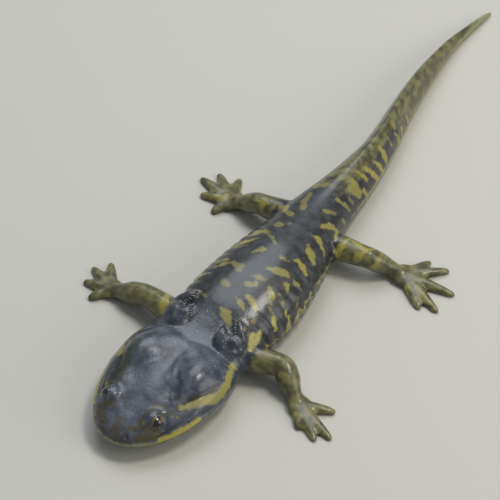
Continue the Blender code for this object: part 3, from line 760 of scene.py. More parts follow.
@dataclass(frozen=True)
class Fringe:
    """Fine filaments that hang along both edges of each gill lobe of one side.

    Attributes:
        side: the side of the neck.
        gills: the lobes that carry the filaments.
        count: filaments along each edge.
        span: shares of the lobe's length between which they stand.
        length: mean length of a filament.
        radius: radius of a filament at its root.
        droop: how far its tip hangs.
        seat: how far out on the lobe's half width it starts.
        wander: how much its direction varies.
    """

    side: Side
    gills: Gills = Gills()
    count: int = 9
    span: tuple[float, float] = (0.3, 0.97)
    length: float = 1.6
    radius: float = 0.22
    droop: float = 0.6
    seat: float = 0.75
    wander: float = 0.12

    def build(self, to_frame: ToFrame, material: bpy.types.Material) -> bpy.types.Object:
        """Build the filaments in their place and dress them.

        Args:
            to_frame: turns millimetres of this file into metres of the frame.
            material: the look of the gills.

        Returns:
            The piece.
        """
        draw = np.random.default_rng(SEED + self.side.value)
        radii = (self.radius, self.radius, 0.8 * self.radius, 0.4 * self.radius)
        mesh = bmesh.new()
        for lobe in self.gills.lobes:
            points, out = self.gills.line(lobe, self.side)
            share = np.linspace(0.0, 1.0, len(points))
            ahead = points[-1] - points[0]
            ahead /= np.linalg.norm(ahead)
            edge = np.cross(ahead, out)
            for at in np.linspace(*self.span, self.count):
                middle = np.array([np.interp(at, share, points[:, k]) for k in range(3)])
                width = self.gills.flatness * np.interp(at, share, self.gills.radii)
                for sign in (-1.0, 1.0):
                    start = middle + sign * edge * self.seat * width
                    heading = sign * edge * (0.9 - 0.5 * at) + ahead * (0.4 + 0.5 * at)
                    heading += self.wander * draw.normal(size=3)
                    heading *= self.length * (0.8 + 0.3 * draw.random()) / np.linalg.norm(heading)
                    line = [start + heading * t - out * self.droop * t * t for t in (0.0, 0.35, 0.7, 1.0)]
                    add_tube(mesh, limb_rings(np.array(line), radii, 8, 0.4, normal=out, reach=0.5))
        set_points(mesh, to_frame(get_points(mesh)))
        piece = as_piece(f"gill_fringe_{self.side.name.lower()}", mesh, material)
        return piece


def feed(made: bpy.types.Node, inputs: dict[str | int, object]) -> None:
    """Set or link a node's inputs.

    Args:
        made: the node.
        inputs: values or other nodes' sockets, by input name or number.
    """
    for name, value in inputs.items():
        if isinstance(value, bpy.types.NodeSocket):
            made.id_data.links.new(value, made.inputs[name])
        else:
            made.inputs[name].default_value = value


def node(
    tree: bpy.types.NodeTree, kind: str, inputs: dict[str | int, object], output: str | int = 0,
    **settings: object,
) -> bpy.types.NodeSocket:
    """Add a shader node with its settings and links.

    Args:
        tree: the material's node tree.
        kind: the node's type without the word ShaderNode.
        inputs: values or other nodes' sockets, by input name or number.
        output: name or number of the wanted output.
        settings: properties of the node.

    Returns:
        The wanted output of the new node.
    """
    made = tree.nodes.new("ShaderNode" + kind)
    for name, value in settings.items():
        setattr(made, name, value)
    feed(made, inputs)
    return made.outputs[output]


def new_material(name: str) -> tuple[bpy.types.Material, bpy.types.NodeTree, bpy.types.Node]:
    """Start a material.

    Args:
        name: the material's name.

    Returns:
        The material, its node tree and its shader.
    """
    material = bpy.data.materials.new(name)
    material.use_nodes = True
    return material, material.node_tree, material.node_tree.nodes["Principled BSDF"]


def linear(code: str) -> tuple[float, float, float, float]:
    """Return the linear colour of an sRGB hex code."""
    parts = [int(code[k : k + 2], 16) / 255.0 for k in (1, 3, 5)]
    return (*(c / 12.92 if c <= 0.04045 else ((c + 0.055) / 1.055) ** 2.4 for c in parts), 1.0)


def per(size: float) -> float:
    """Return the noise scale, on coordinates in metres, whose features are so many millimetres wide."""
    return 1.0 / (size * MM)


SMOOTH = {"interpolation_type": "SMOOTHSTEP"}  # settings of a node that steps softly
COLOURS = {"data_type": "RGBA"}  # settings of a node that mixes colours


@dataclass(frozen=True)
class WetSkin:
    """Bare, slimy skin of a living amphibian, soft and dark under a clear wet film.

    The film mirrors the light and gives the head its broad, cool sheen. Fine granules under it break the
    highlight into sparks. Sizes in the noise are in millimetres.

    Attributes:
        slate: dark and light tone of the trunk.
        crown: dark and light tone of the head.
        olive: dark and light tone of the legs and tail.
        marks: dull and bright tone of the blotches and bars.
        pale: throat, belly and lips.
        moss: dark green behind the eyes, partly painted shade on the head's right side and along the left
            cheek groove.
        umber: brown of the snout.
        soot: painted shade in the head's creases, on its right side and between the gill lobes, and a few
            dark patches behind the eye.
        speck: small light specks.
        granule: width of the granules, about twice the real one, so that they show.
        speckle: distance between specks, twice the real one for the same reason.
        dust: width of the dark dust on a marking.
        mottle: width of the mottling.
        ragged: width of the notches in a marking's edge.
        raggedness: how far that edge wanders.
        swirl: width of the broader unevenness under the film.
    """

    slate: tuple[str, str] = ("#1f2122", "#373a3b")
    crown: tuple[str, str] = ("#30353e", "#4b515c")
    olive: tuple[str, str] = ("#46452b", "#716d45")
    marks: tuple[str, str] = ("#5e573f", "#a3993b")
    pale: str = "#8a8b66"
    moss: str = "#363a28"
    umber: str = "#463f26"
    soot: str = "#1c1e1f"
    speck: str = "#959896"
    granule: float = 0.75
    speckle: float = 0.8
    dust: float = 0.5
    mottle: float = 3.2
    ragged: float = 1.9
    raggedness: float = 2.2
    swirl: float = 2.2

    def make(self) -> bpy.types.Material:
        """Return the material.

        Returns:
            The new material, which reads the skin's painted fields.
        """
        material, tree, shader = new_material("wet_salamander_skin")
        place = node(tree, "TexCoord", {}, "Object")
        fields = {paint: node(tree, "Attribute", {}, "Fac", attribute_name=paint.value) for paint in Paint}
        mottle, edge, fine, swirl = (
            node(tree, "TexNoise", {"Vector": place, "Scale": per(size), "Detail": detail})
            for size, detail in (
                (self.mottle, 3.0), (self.ragged, 2.0), (self.dust, 1.0), (self.swirl, 4.0))
        )
        mottled = node(tree, "MapRange", {0: mottle, 1: 0.35, 2: 0.68}, **SMOOTH)
        trunk, crown, olive = (
            node(tree, "Mix", {0: mottled, 6: linear(dark), 7: linear(light)}, 2, **COLOURS)
            for dark, light in (self.slate, self.crown, self.olive)
        )
        slate = node(tree, "Mix", {0: fields[Paint.CROWN], 6: trunk, 7: crown}, 2, **COLOURS)
        patchy = node(tree, "Math", {0: fields[Paint.OLIVE], 1: mottle}, operation="ADD")
        zone = node(tree, "MapRange", {0: patchy, 1: 0.7, 2: 1.3}, **SMOOTH)
        colour = node(tree, "Mix", {0: zone, 6: slate, 7: olive}, 2, **COLOURS)
        dull, bright = (linear(code) for code in self.marks)
        mark = node(tree, "Mix", {0: fields[Paint.VIVID], 6: dull, 7: bright}, 2, **COLOURS)
        dusting = node(tree, "MapRange", {0: fine, 1: 0.5, 2: 0.75, 4: 0.45}, **SMOOTH)
        mark = node(tree, "Mix", {0: dusting, 6: mark, 7: linear(self.olive[0])}, 2, **COLOURS)
        wander = {0: edge, 1: self.raggedness, 2: -0.5 * self.raggedness}
        ragged = node(tree, "Math", wander, operation="MULTIPLY_ADD")
        # The dark green and the black layers are largely painted shade in the creases, on the head's right
        # side and between the gill lobes
        for paint, tone, softness, cover in (
            (Paint.PALE, linear(self.pale), 0.8, 0.85), (Paint.MOSS, linear(self.moss), 0.7, 0.85),
            (Paint.UMBER, linear(self.umber), 0.9, 0.85), (Paint.YELLOW, mark, 0.45, 0.88),
            (Paint.SOOT, linear(self.soot), 0.45, 0.85),
        ):
            depth = node(tree, "Math", {0: fields[paint], 1: ragged}, operation="ADD")
            share = node(tree, "MapRange", {0: depth, 1: -softness, 2: softness, 4: cover}, **SMOOTH)
            colour = node(tree, "Mix", {0: share, 6: colour, 7: tone}, 2, **COLOURS)
        lattice = {"Vector": place, "Scale": per(self.speckle)}
        grain = node(tree, "TexVoronoi", lattice, feature="F1").node.outputs
        lone = node(tree, "SeparateColor", {0: grain["Color"]})
        flock = node(tree, "Math", {0: mottle, 1: 0.9, 2: lone}, operation="MULTIPLY_ADD")
        chosen = node(tree, "MapRange", {0: flock, 1: 1.2, 2: 1.3, 4: fields[Paint.SPECKS]}, **SMOOTH)
        speck = node(tree, "MapRange", {0: grain["Distance"], 1: 0.34, 2: 0.12, 4: chosen}, **SMOOTH)
        colour = node(tree, "Mix", {0: speck, 6: colour, 7: linear(self.speck)}, 2, **COLOURS)
        cells = node(tree, "TexVoronoi", {"Vector": place, "Scale": per(self.granule)}, feature="SMOOTH_F1")
        height = node(tree, "Math", {0: swirl, 1: 1.5, 2: cells}, operation="MULTIPLY_ADD")
        feed(shader, {
            "Base Color": colour,
            "Roughness": node(tree, "MapRange", {0: mottle, 1: 0.3, 2: 0.7, 3: 0.34, 4: 0.52}),
            "Normal": node(tree, "Bump", {"Strength": 0.35, "Distance": 0.12 * MM, "Height": height}),
            "Coat Normal": node(tree, "Bump", {"Strength": 0.18, "Distance": 0.1 * MM, "Height": height}),
            "IOR": 1.4, "Coat Weight": 0.75, "Coat Roughness": 0.18, "Coat IOR": 1.35,
        })
        return material


@dataclass(frozen=True)
class EyeFinish:
    """A dark, wet eye: black pupil and dark brown iris with gold flecks, under a cornea that gives one glint.

    Attributes:
        pupil: colour of the pupil.
        iris: brown and gold of the iris.
        rim: colour beyond the iris.
        pupil_reach: distance from the eye's pole to the pupil's edge.
        iris_reach: the same to the iris's edge.
        pupil_edge: softness of the pupil's edge.
        iris_edge: softness of the iris's edge.
        fleck: size of the gold flecks.
        wave: how far both edges wander.
    """

    pupil: str = "#07090d"
    iris: tuple[str, str] = ("#1e1a14", "#7d6a34")
    rim: str = "#14161a"
    pupil_reach: float = 1.45
    iris_reach: float = 2.4
    pupil_edge: float = 0.2
    iris_edge: float = 0.4
    fleck: float = 1.7
    wave: float = 0.35

    def make(self, name: str, pole: Vector) -> bpy.types.Material:
        """Return the material of one eye.

        Args:
            name: the material's name.
            pole: the middle of the pupil on the eye's surface, in metres.

        Returns:
            The new material.
        """
        material, tree, shader = new_material(name)
        place = node(tree, "TexCoord", {}, "Object")
        away = node(tree, "VectorMath", {0: place, 1: pole}, "Value", operation="DISTANCE")
        fleck = node(tree, "TexNoise", {"Vector": place, "Scale": per(self.fleck), "Detail": 3.0})
        wavy = node(tree, "Math", {0: fleck, 1: self.wave * MM, 2: away}, operation="MULTIPLY_ADD")
        gilding = node(tree, "MapRange", {0: fleck, 1: 0.5, 2: 0.6}, **SMOOTH)
        brown, gold = (linear(code) for code in self.iris)
        colour = node(tree, "Mix", {0: gilding, 6: brown, 7: gold}, 2, **COLOURS)
        for start, end, tone in (
            (self.pupil_reach + self.pupil_edge, self.pupil_reach, self.pupil),
            (self.iris_reach, self.iris_reach + self.iris_edge, self.rim),
        ):
            share = node(tree, "MapRange", {0: wavy, 1: start * MM, 2: end * MM}, **SMOOTH)
            colour = node(tree, "Mix", {0: share, 6: colour, 7: linear(tone)}, 2, **COLOURS)
        feed(shader, {
            "Base Color": colour, "Roughness": 0.3, "IOR": 1.376, "Coat Weight": 1.0, "Coat Roughness": 0.03,
        })
        return material


@dataclass(frozen=True)
class GillSkin:
    """Thin, wet gill filaments, greyer and paler than the skin: partly their own tone, partly a painted
    highlight for the wet glint along the gill rims.

    Attributes:
        colours: dark and light tone of the filaments.
        cloud: width of the patches of each tone.
    """

    # The light tone is partly a painted highlight of the wet gill rims
    colours: tuple[str, str] = ("#4c4c50", "#878180")
    cloud: float = 1.2

    def make(self) -> bpy.types.Material:
        """Return the material.

        Returns:
            The new material.
        """
        material, tree, shader = new_material("wet_gill_filament")
        place = node(tree, "TexCoord", {}, "Object")
        cloud = node(tree, "TexNoise", {"Vector": place, "Scale": per(self.cloud), "Detail": 2.0})
        share = node(tree, "MapRange", {0: cloud, 1: 0.35, 2: 0.65}, **SMOOTH)
        dark, light = (linear(code) for code in self.colours)
        colour = node(tree, "Mix", {0: share, 6: dark, 7: light}, 2, **COLOURS)
        feed(shader, {"Base Color": colour, "Roughness": 0.35, "Coat Weight": 0.7, "Coat Roughness": 0.15})
        return material


@dataclass(frozen=True)
class PaleFloor:
    """Matt, warm grey studio card, with no grain that would draw the eye.

    Attributes:
        colour: colour of the card.
    """

    colour: str = "#b9b7b0"

    def make(self) -> bpy.types.Material:
        """Return the material.

        Returns:
            The new material.
        """
        material, _, shader = new_material("matt_studio_card")
        feed(shader, {"Base Color": linear(self.colour), "Roughness": 0.85})
        return material


def as_piece(name: str, mesh: bmesh.types.BMesh, material: bpy.types.Material) -> bpy.types.Object:
    """Turn a mesh in metres into a smooth piece that rides on the body.

    Args:
        name: the piece's name.
        mesh: the finished mesh, which is freed.
        material: its only material.

    Returns:
        The linked object.
    """
    data = as_data(name, mesh)
    data.materials.append(material)
    data.shade_smooth()
    piece = link(name, data)
    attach(piece, BODY)
    return piece


@dataclass(frozen=True)
class Eye:
    """One eye, its place in the head and the lids round it.

    Attributes:
        side: the side of the head.
        station: distance back from the tip of the snout.
        offset: distance from the spine.
        level: height of its middle.
        radius: radius of the eyeball.
        tilt: angle in degrees by which it looks up.
        swing: angle in degrees by which it looks ahead.
        lid_radii: half sizes of the swelling round it, along the head, across the gaze and outwards.
        lid_sink: how far that swelling's middle lies behind the eye's.
        opening: half sizes of the gap between the lids.
        lid_rise: how far the lids' rim stands out from the eyeball.
        lid_dip: how far the skin lies under the eyeball in the gap.
        gap_edge: where the skin starts to rise to the rim, in widths of the opening.
        rim_edge: where it reaches the rim.
        rim_fade: between which widths the rim runs out into the head.
        lid_edge: width beyond which the skin stays as it is.
        hind: how far behind the eye's middle the lids reach, as a height along the gaze.
    """

    side: Side
    station: float = 12.4
    offset: float = 9.7
    level: float = 11.2
    radius: float = 3.0
    tilt: float = 38.0
    swing: float = 20.0
    lid_radii: tuple[float, float, float] = (4.8, 4.1, 3.3)
    lid_sink: float = 0.6
    opening: tuple[float, float] = (2.75, 2.3)
    lid_rise: float = 0.3
    lid_dip: float = 0.55
    gap_edge: float = 0.86
    rim_edge: float = 1.12
    rim_fade: tuple[float, float] = (1.2, 1.9)
    lid_edge: float = 2.2
    hind: float = -0.5

    def centre(self) -> Points:
        """Return the eye's middle."""
        across = np.array(self.side.value * self.offset)
        return PLAN.from_body(np.array(self.station), across, np.array(self.level))

    def turn(self) -> Matrix:
        """Return the turn of the eye's own axes.

        Returns:
            A matrix whose columns point along the head, across the gaze and out.
        """
        tilt, swing = np.radians(self.tilt), np.radians(self.swing)
        reach = np.cos(tilt)
        out = Vector((self.side.value * reach * np.cos(swing), -reach * np.sin(swing), np.sin(tilt)))
        along = Vector((0.0, 1.0, 0.0)).cross(out).cross(out).normalized()
        return Matrix((along, out.cross(along), out)).transposed()

    def build_lid(self, mesh: bmesh.types.BMesh) -> None:
        """Add the swelling that carries the lids to a mesh.

        Args:
            mesh: the mesh that gets it.
        """
        turn = self.turn()
        middle = Vector(self.centre()) - turn.col[2] * self.lid_sink
        place = Matrix.Translation(middle) @ turn.to_4x4() @ Matrix.Diagonal((*self.lid_radii, 1.0))
        bmesh.ops.create_uvsphere(mesh, u_segments=40, v_segments=24, radius=1.0, matrix=place)

    def seen(self, points: Points) -> tuple[Points, Points]:
        """Measure points from the eye.

        Args:
            points: places of this file.

        Returns:
            The points in the eye's own axes, and their distance from its pole in widths of the opening.
        """
        local = (points - self.centre()) @ np.array(self.turn())
        return local, np.hypot(local[:, 0] / self.opening[0], local[:, 1] / self.opening[1])

    def lid_points(self, points: Points) -> Points:
        """Find the outer slope of the lids.

        Args:
            points: places of the skin's points.

        Returns:
            The numbers of the points on it.
        """
        local, ring = self.seen(points)
        slope = (ring > self.rim_edge) & (ring < self.lid_edge + 0.2)
        return np.flatnonzero((local[:, 2] > self.hind) & slope)

    def open_lids(self, points: Points) -> Points:
        """Return points moved so that a soft rim stands round the eye and the gap dips under its surface.

        Args:
            points: places of the skin's points.

        Returns:
            Their new places.
        """
        local, ring = self.seen(points)
        reach = np.linalg.norm(local, axis=1)
        front = (local[:, 2] > self.hind) & (ring < self.lid_edge) & (reach < 7.0)
        hidden, rim = self.radius - self.lid_dip, self.radius + self.lid_rise
        wanted = hidden + (rim - hidden) * ramp(ring, self.gap_edge, self.rim_edge)
        away = ramp(ring, *self.rim_fade)
        wanted = wanted * (1.0 - away) + np.maximum(reach, wanted) * away
        slope = np.maximum(wanted, reach * ramp(ring, self.rim_edge, 1.5))
        wanted = np.where(ring > self.rim_edge, slope, wanted)
        scale = np.where(front, wanted / np.maximum(reach, 0.1), 1.0)
        return self.centre() + (local * scale[:, None]) @ np.array(self.turn()).T

    def build(self, to_frame: ToFrame, finish: EyeFinish) -> bpy.types.Object:
        """Build the eyeball in its place and dress it.

        Args:
            to_frame: turns millimetres of this file into metres of the frame.
            finish: the eye's look.

        Returns:
            The piece.
        """
        word = self.side.name.lower()
        turn = self.turn()
        middle = Vector(to_frame(self.centre()))
        mesh = bmesh.new()
        place = Matrix.Translation(middle) @ turn.to_4x4()
        bmesh.ops.create_uvsphere(mesh, u_segments=64, v_segments=32, radius=self.radius * MM, matrix=place)
        pole = middle + turn.col[2] * self.radius * MM
        piece = as_piece(f"eye_{word}_ball", mesh, finish.make(f"wet_eye_{word}", pole))
        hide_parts("eye_" + word)
        return piece


@dataclass
class Skin:
    """The one skin of head, neck, trunk, tail, legs and gills, with its forms and markings.

    Attributes:
        limbs: the four legs.
        eyes: both eyes.
        gills: the gill lobes of one side.
        voxel: spacing of the skin's points, which is halved on the head.
        head_end: station at which the finer mesh of the head ends.
        head_reach: how far across it reaches.
        swells: height, station, length, offset and reach of each soft swelling or hollow of the head.
        folds: grooves and ridges of the head's left side, mirrored on its right.
        lip_rise: how far the lips stand out.
        lip_offset: distance of their crests from the mouth line.
        lip_fullness: reach of their crests.
        jaw_setback: how far the lower jaw lies behind the upper lip.
        crease_depth: depth of the mouth line.
        crease_width: reach of the mouth line.
        mouth_corner: station of the corner of the mouth.
        lip_fade: length over which the lips fade there.
        neck_creases: depth, share of it on top, station and reach of each crease behind the head.
        groove_depth: depth of the grooves between the ribs.
        groove_width: reach of each groove.
        grooves: number of grooves on a side.
        first_groove: station of the first one.
        last_groove: station of the last one.
        groove_slant: how far a groove leans forward per millimetre of height.
        groove_level: height at which a groove is deepest.
        groove_height: reach above and below it.
        nostril: station, offset and height of a nostril.
        nostril_depth: depth of a nostril.
        nostril_width: reach of a nostril.
        nostril_rim: rise of its rim.
        mirrored_from: bars that lie further out on the left than this are mirrored.
        shuffle: how far a mirrored bar may move along the body.
        stroke_reach: how far along the body a marking is looked for from its ends.
    """

    limbs: tuple[Limb, ...]
    eyes: tuple[Eye, ...]
    gills: Gills = Gills()
    voxel: float = 0.67
    head_end: float = 47.5
    head_reach: float = 22.0
    swells: tuple[tuple[float, ...], ...] = (
        (2.4, 32.5, 8.2, 11.2, 5.4),
        (-0.7, 34.0, 9.0, 0.0, 2.8),
        (-0.6, 24.0, 4.5, 7.4, 2.6),
        (-0.5, 21.5, 4.0, 14.6, 2.6),
        (-0.4, 13.0, 7.0, 0.0, 5.0),
    )
    folds: tuple[Stroke, ...] = (
        on_skin(
            -0.2, 2.2, (10.8, 19.2, 13.6), (8.4, 24.0, 15.6), (6.2, 28.0, 16.5), (3.4, 32.5, 16.9),
            (1.2, 37.0, 17.0)),
        on_skin(
            0.1, 0.9, (11.6, 17.0, 12.8), (8.4, 21.6, 15.0), (6.0, 25.8, 16.2), (3.4, 30.4, 16.8),
            (1.4, 35.0, 17.0)),
        on_skin(-0.45, 1.1, (12.0, 19.8, 13.1), (14.8, 24.8, 14.1), (16.6, 28.7, 14.5), (18.0, 34.9, 14.4)),
        on_skin(-0.35, 2.0, (17.3, 36.2, 15.0), (16.3, 39.2, 15.2), (14.2, 43.3, 15.0), (11.5, 47.0, 14.8)),
        on_skin(-0.35, 0.7, (10.6, 7.0, 9.2), (11.6, 8.8, 9.3), (14.7, 14.3, 10.2), (16.2, 17.5, 10.8)),
    )
    lip_rise: float = 0.5
    lip_offset: float = 1.0
    lip_fullness: float = 0.6
    jaw_setback: float = 0.9
    crease_depth: float = 0.6
    crease_width: float = 0.32
    mouth_corner: float = 33.0
    lip_fade: float = 6.0
    neck_creases: tuple[tuple[float, ...], ...] = (
        (0.9, 0.12, 46.0, 1.6), (0.3, 0.0, 50.5, 0.8), (0.25, 0.0, 57.5, 0.7))
    groove_depth: float = 0.6
    groove_width: float = 0.8
    grooves: int = 12
    first_groove: float = 63.0
    last_groove: float = 109.0
    groove_slant: float = 0.12
    groove_level: float = 9.5
    groove_height: float = 7.5
    nostril: tuple[float, float, float] = (2.2, 5.2, 9.6)
    nostril_depth: float = 0.7
    nostril_width: float = 0.42
    nostril_rim: float = 0.08
    mirrored_from: float = 7.0
    shuffle: float = 3.0
    stroke_reach: float = 5.0

    def assemble(self) -> bpy.types.Object:
        """Join body, lids, gills and legs.

        Returns:
            Their closed union as evenly spaced faces, in millimetres.
        """
        spacing, snout_rings, ring_points, first_turn = 0.7, 46, 180, 0.06
        turn = np.linspace(first_turn, 0.5 * np.pi, snout_rings)
        front = -PLAN.snout_reach + PLAN.snout_rounding * (1.0 - np.cos(turn))
        rest = np.arange(front[-1] + spacing, PLAN.length, spacing)
        mesh = bmesh.new()
        add_tube(mesh, PLAN.rings(np.concatenate((front, rest, [PLAN.length])), ring_points))
        for eye in self.eyes:
            eye.build_lid(mesh)
        for side in Side:
            self.gills.build(mesh, side)
        for limb in self.limbs:
            limb.build(mesh)
            log.info("%s: %d digits", limb.name, len(limb.digits))
        form = link("skin_form", as_data("skin_form", mesh))
        evener = form.modifiers.new("even", "REMESH")
        evener.mode = "VOXEL"
        evener.voxel_size = self.voxel
        evener.adaptivity = 0.0
        return form

    def head_forms(self, station: Points, across: Points, up: Points) -> Points:
        """Return the rise of the head's swellings, hollows and folds.

        Args:
            station: distances back from the snout.
            across: distances to the left of the spine.
            up: heights above the floor.

        Returns:
            A rise for each place.
        """
        out = np.zeros_like(station)
        upper = ramp(up - PLAN.widest(station), 0.0, 2.5)
        for rise, middle, length, offset, reach in self.swells:
            out += rise * bump(station - middle, length) * bump(np.abs(across) - offset, reach) * upper
        on_head = ramp(station, 50.0, 48.0)
        for fold in self.folds:
            for stroke in (fold, fold.mirrored()):
                out += stroke.rise(station, across, up) * on_head
        return out

    def mouth_forms(self, station: Points, up: Points) -> Points:
        """Return the rise of the lips, which the line of the mouth parts and the lower jaw sets back.

        Args:
            station: distances back from the snout.
            up: heights above the floor.

        Returns:
            A rise for each place.
        """
        fade = np.clip((self.mouth_corner + 0.5 * self.lip_fade - station) / self.lip_fade, 0.0, 1.0)
        from_mouth = up - PLAN.mouth(station)
        lips = self.lip_rise * bump(np.abs(from_mouth) - self.lip_offset, self.lip_fullness)
        below = 0.5 - 0.5 * np.tanh(2.0 * from_mouth + 0.4)
        jaw = self.jaw_setback * below * ramp(up, 0.0, 1.5)
        crease = self.crease_depth * bump(from_mouth + 0.1, self.crease_width)
        return fade * (lips * ramp(station, 0.0, 3.0) - jaw - crease)

    def trunk_forms(self, station: Points, across: Points, up: Points) -> Points:
        """Return the rise of the neck's creases and of the grooves between the ribs, all below 0.

        Args:
            station: distances back from the snout.
            across: distances to the left of the spine.
            up: heights above the floor.

        Returns:
            A rise for each place.
        """
        side, width = np.abs(across), PLAN.width_at(station)
        out = np.zeros_like(station)
        for depth, top, middle, reach in self.neck_creases:
            lean = station - middle - 0.1 * (side - width)
            share = top + (1.0 - top) * ramp(side, 0.55 * width, 0.85 * width)
            out -= depth * share * bump(lean, reach)
        pitch = (self.last_groove - self.first_groove) / (self.grooves - 1)
        leaned = station + self.groove_slant * (up - 10.0)
        row = (leaned - self.first_groove) / pitch
        span = ramp(leaned, self.first_groove - 0.5 * pitch, self.first_groove)
        span *= ramp(leaned, self.last_groove + 0.5 * pitch, self.last_groove)
        groove = bump((row - np.round(row)) * pitch, self.groove_width) * span
        groove *= bump(up - self.groove_level, self.groove_height)
        out -= self.groove_depth * groove * ramp(side, 0.45 * width, 0.75 * width)
        return out * ramp(side - width, 1.6, 0.6)

    def pierce(self, points: Points, normals: Points) -> Points:
        """Return points moved to sink the nostrils, each with a low rim.

        Args:
            points: places of the skin's points.
            normals: directions out of the skin there.

        Returns:
            Their new places.
        """
        station, offset, up = self.nostril
        for side in Side:
            spot = PLAN.from_body(np.array(station), np.array(side.value * offset), np.array(up))
            away = np.linalg.norm((points - spot) * (1.0, 0.75, 1.0), axis=1)
            rise = self.nostril_rim * bump(away - 1.0, 0.5)
            rise = rise - self.nostril_depth * bump(away, self.nostril_width)
            points = points + normals * rise[:, None]
        return points

    def detail(self, form: bpy.types.Object) -> bmesh.types.BMesh:
        """Make the skin's mesh, finer on the head, and move every form into place.

        Args:
            form: the union of body, lids, gills and legs, which is deleted.

        Returns:
            The mesh, in millimetres.
        """
        even = bpy.data.meshes.new_from_object(form.evaluated_get(bpy.context.evaluated_depsgraph_get()))
        bpy.data.objects.remove(form)
        mesh = bmesh.new()
        mesh.from_mesh(even)
        bpy.data.meshes.remove(even)
        soften(mesh, mesh.verts, 3)
        starts = ((edge, edge.verts[0].co) for edge in mesh.edges)
        near = [edge for edge, start in starts if start.y < self.head_end and abs(start.x) < self.head_reach]
        bmesh.ops.subdivide_edges(mesh, edges=near, cuts=1, use_grid_fill=True, smooth=0.0)
        soften(mesh, [vert for vert in mesh.verts if vert.co.y < self.head_end + 2.0], 1)
        mesh.normal_update()
        points = get_points(mesh)
        normals = np.array([vert.normal for vert in mesh.verts])
        station, across, up = PLAN.to_body(points)
        rise = self.head_forms(station, across, up) + self.mouth_forms(station, up)
        rise += self.trunk_forms(station, across, up)
        points = self.pierce(points + normals * rise[:, None], normals)
        for eye in self.eyes:
            points = eye.open_lids(points)
        set_points(mesh, points)
        mesh.verts.ensure_lookup_table()
        for eye in self.eyes:
            soften(mesh, [mesh.verts[k] for k in eye.lid_points(points)], 6)
        return mesh

    def marks(self) -> list[Stroke]:
        """Gather the yellow markings.

        Returns:
            The markings of both sides, where the right flank has the left one's bars, mirrored and moved.
        """
        draw = np.random.default_rng(SEED)
        marks = [*BARS, *FACE]
        for stroke in BARS:
            if min(across for _, across, _, _ in stroke.line) > self.mirrored_from:
                marks.append(stroke.mirrored(float(draw.uniform(-self.shuffle, self.shuffle))))
        marks += [FACE[0].mirrored(), FACE[2].mirrored()]
        return marks + [stroke for edge in EDGES for stroke in (edge, edge.mirrored())]

    def yellow(self, station: Points, across: Points, up: Points) -> tuple[Points, Points]:
        """Measure places against the yellow markings.

        Args:
            station: distances back from the snout.
            across: distances to the left of the spine.
            up: heights above the floor.

        Returns:
            How far inside a marking each place lies, and that marking's vividness.
        """
        reach, vivid = np.full(station.shape, BARE), np.zeros(station.shape)
        for stroke in self.marks():
            stations = [at for at, _, _, _ in stroke.line]
            first, last = min(stations) - self.stroke_reach, max(stations) + self.stroke_reach
            close = (station > first) & (station < last)
            inside = stroke.inside(station[close], across[close], up[close])
            vivid[close] = np.where(inside > reach[close], stroke.strength, vivid[close])
            reach[close] = np.maximum(reach[close], inside)
        return reach, vivid

    def zones(self, station: Points, across: Points, up: Points) -> dict[Paint, Points]:
        """Return the fields of the broad zones of colour.

        Args:
            station: distances back from the snout.
            across: distances to the left of the spine.
            up: heights above the floor.

        Returns:
            Pale throat, belly and lip, brown snout, olive legs and tail, blue crown and the specks on it.
        """
        side, width = np.abs(across), PLAN.width_at(station)
        below_mouth = PLAN.mouth(station) - up
        throat = ramp(station, 58.0, 40.0) * np.clip(below_mouth - 0.6, BARE, -BARE)
        throat += BARE * ramp(station, 40.0, 58.0)
        under = np.where(side < width + 1.0, np.maximum(throat, 3.6 - up), BARE)
        lip = 0.75 - np.abs(below_mouth + 0.9) + BARE * ramp(station, 22.0, 30.0)
        snout = 0.1 - 0.16 * station - 1.2 * ramp(up, 11.0, 12.4)
        limb = ramp(side - width, -1.0, 3.0) * ramp(station, 40.0, 46.0)
        tail = ramp(station, 150.0, 195.0)
        flank = 0.45 * ramp(up, 9.0, 4.0) * ramp(station, 46.0, 60.0)
        keel = 0.8 * ramp(up / PLAN.back(station), 0.7, 0.92) * ramp(station, 120.0, 140.0)
        specks = 0.75 * ramp(station, 70.0, 54.0) * ramp(up, 8.0, 13.0) * ramp(station, 18.0, 40.0)
        return {
            Paint.PALE: np.maximum(under, lip),
            Paint.UMBER: np.where(up > 8.0, snout, BARE),
            Paint.OLIVE: np.clip(np.maximum.reduce((limb, tail, flank, keel)), 0.0, 1.0),
            Paint.CROWN: ramp(station, 66.0, 42.0),
            Paint.SPECKS: specks,
        }

    def paint(self, data: bpy.types.Mesh, points: Points) -> None:
        """Write the skin's markings as fields on its points.

        Args:
            data: the finished mesh.
            points: its points in millimetres.
        """
        place = PLAN.to_body(points)
        reach, vivid = self.yellow(*place)
        fields = {Paint.YELLOW: reach, Paint.VIVID: vivid, **self.zones(*place)}
        for paint, lines in PATCHES.items():
            zone = fields.get(paint, np.full(len(points), BARE))
            fields[paint] = np.maximum.reduce([zone, *(line.inside(*place) for line in lines)])
        for paint, value in fields.items():
            layer = data.attributes.new(paint.value, "FLOAT", "POINT")
            layer.data.foreach_set("value", np.clip(value, BARE, -BARE).astype(np.float32))

    def build(self, to_frame: ToFrame, room: tuple[Points, Points], finish: WetSkin) -> bpy.types.Object:
        """Build, place, paint and dress the skin.

        Args:
            to_frame: turns millimetres of this file into metres of the frame.
            room: lowest and highest corner of the whole animal's solids, in metres.
            finish: the skin's look.

        Returns:
            The piece.
        """
        mesh = self.detail(self.assemble())
        points = get_points(mesh)
        set_points(mesh, np.clip(to_frame(points), *room))
        piece = as_piece("skin", mesh, finish.make())
        self.paint(piece.data, points)
        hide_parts(*FLESH)
        return piece


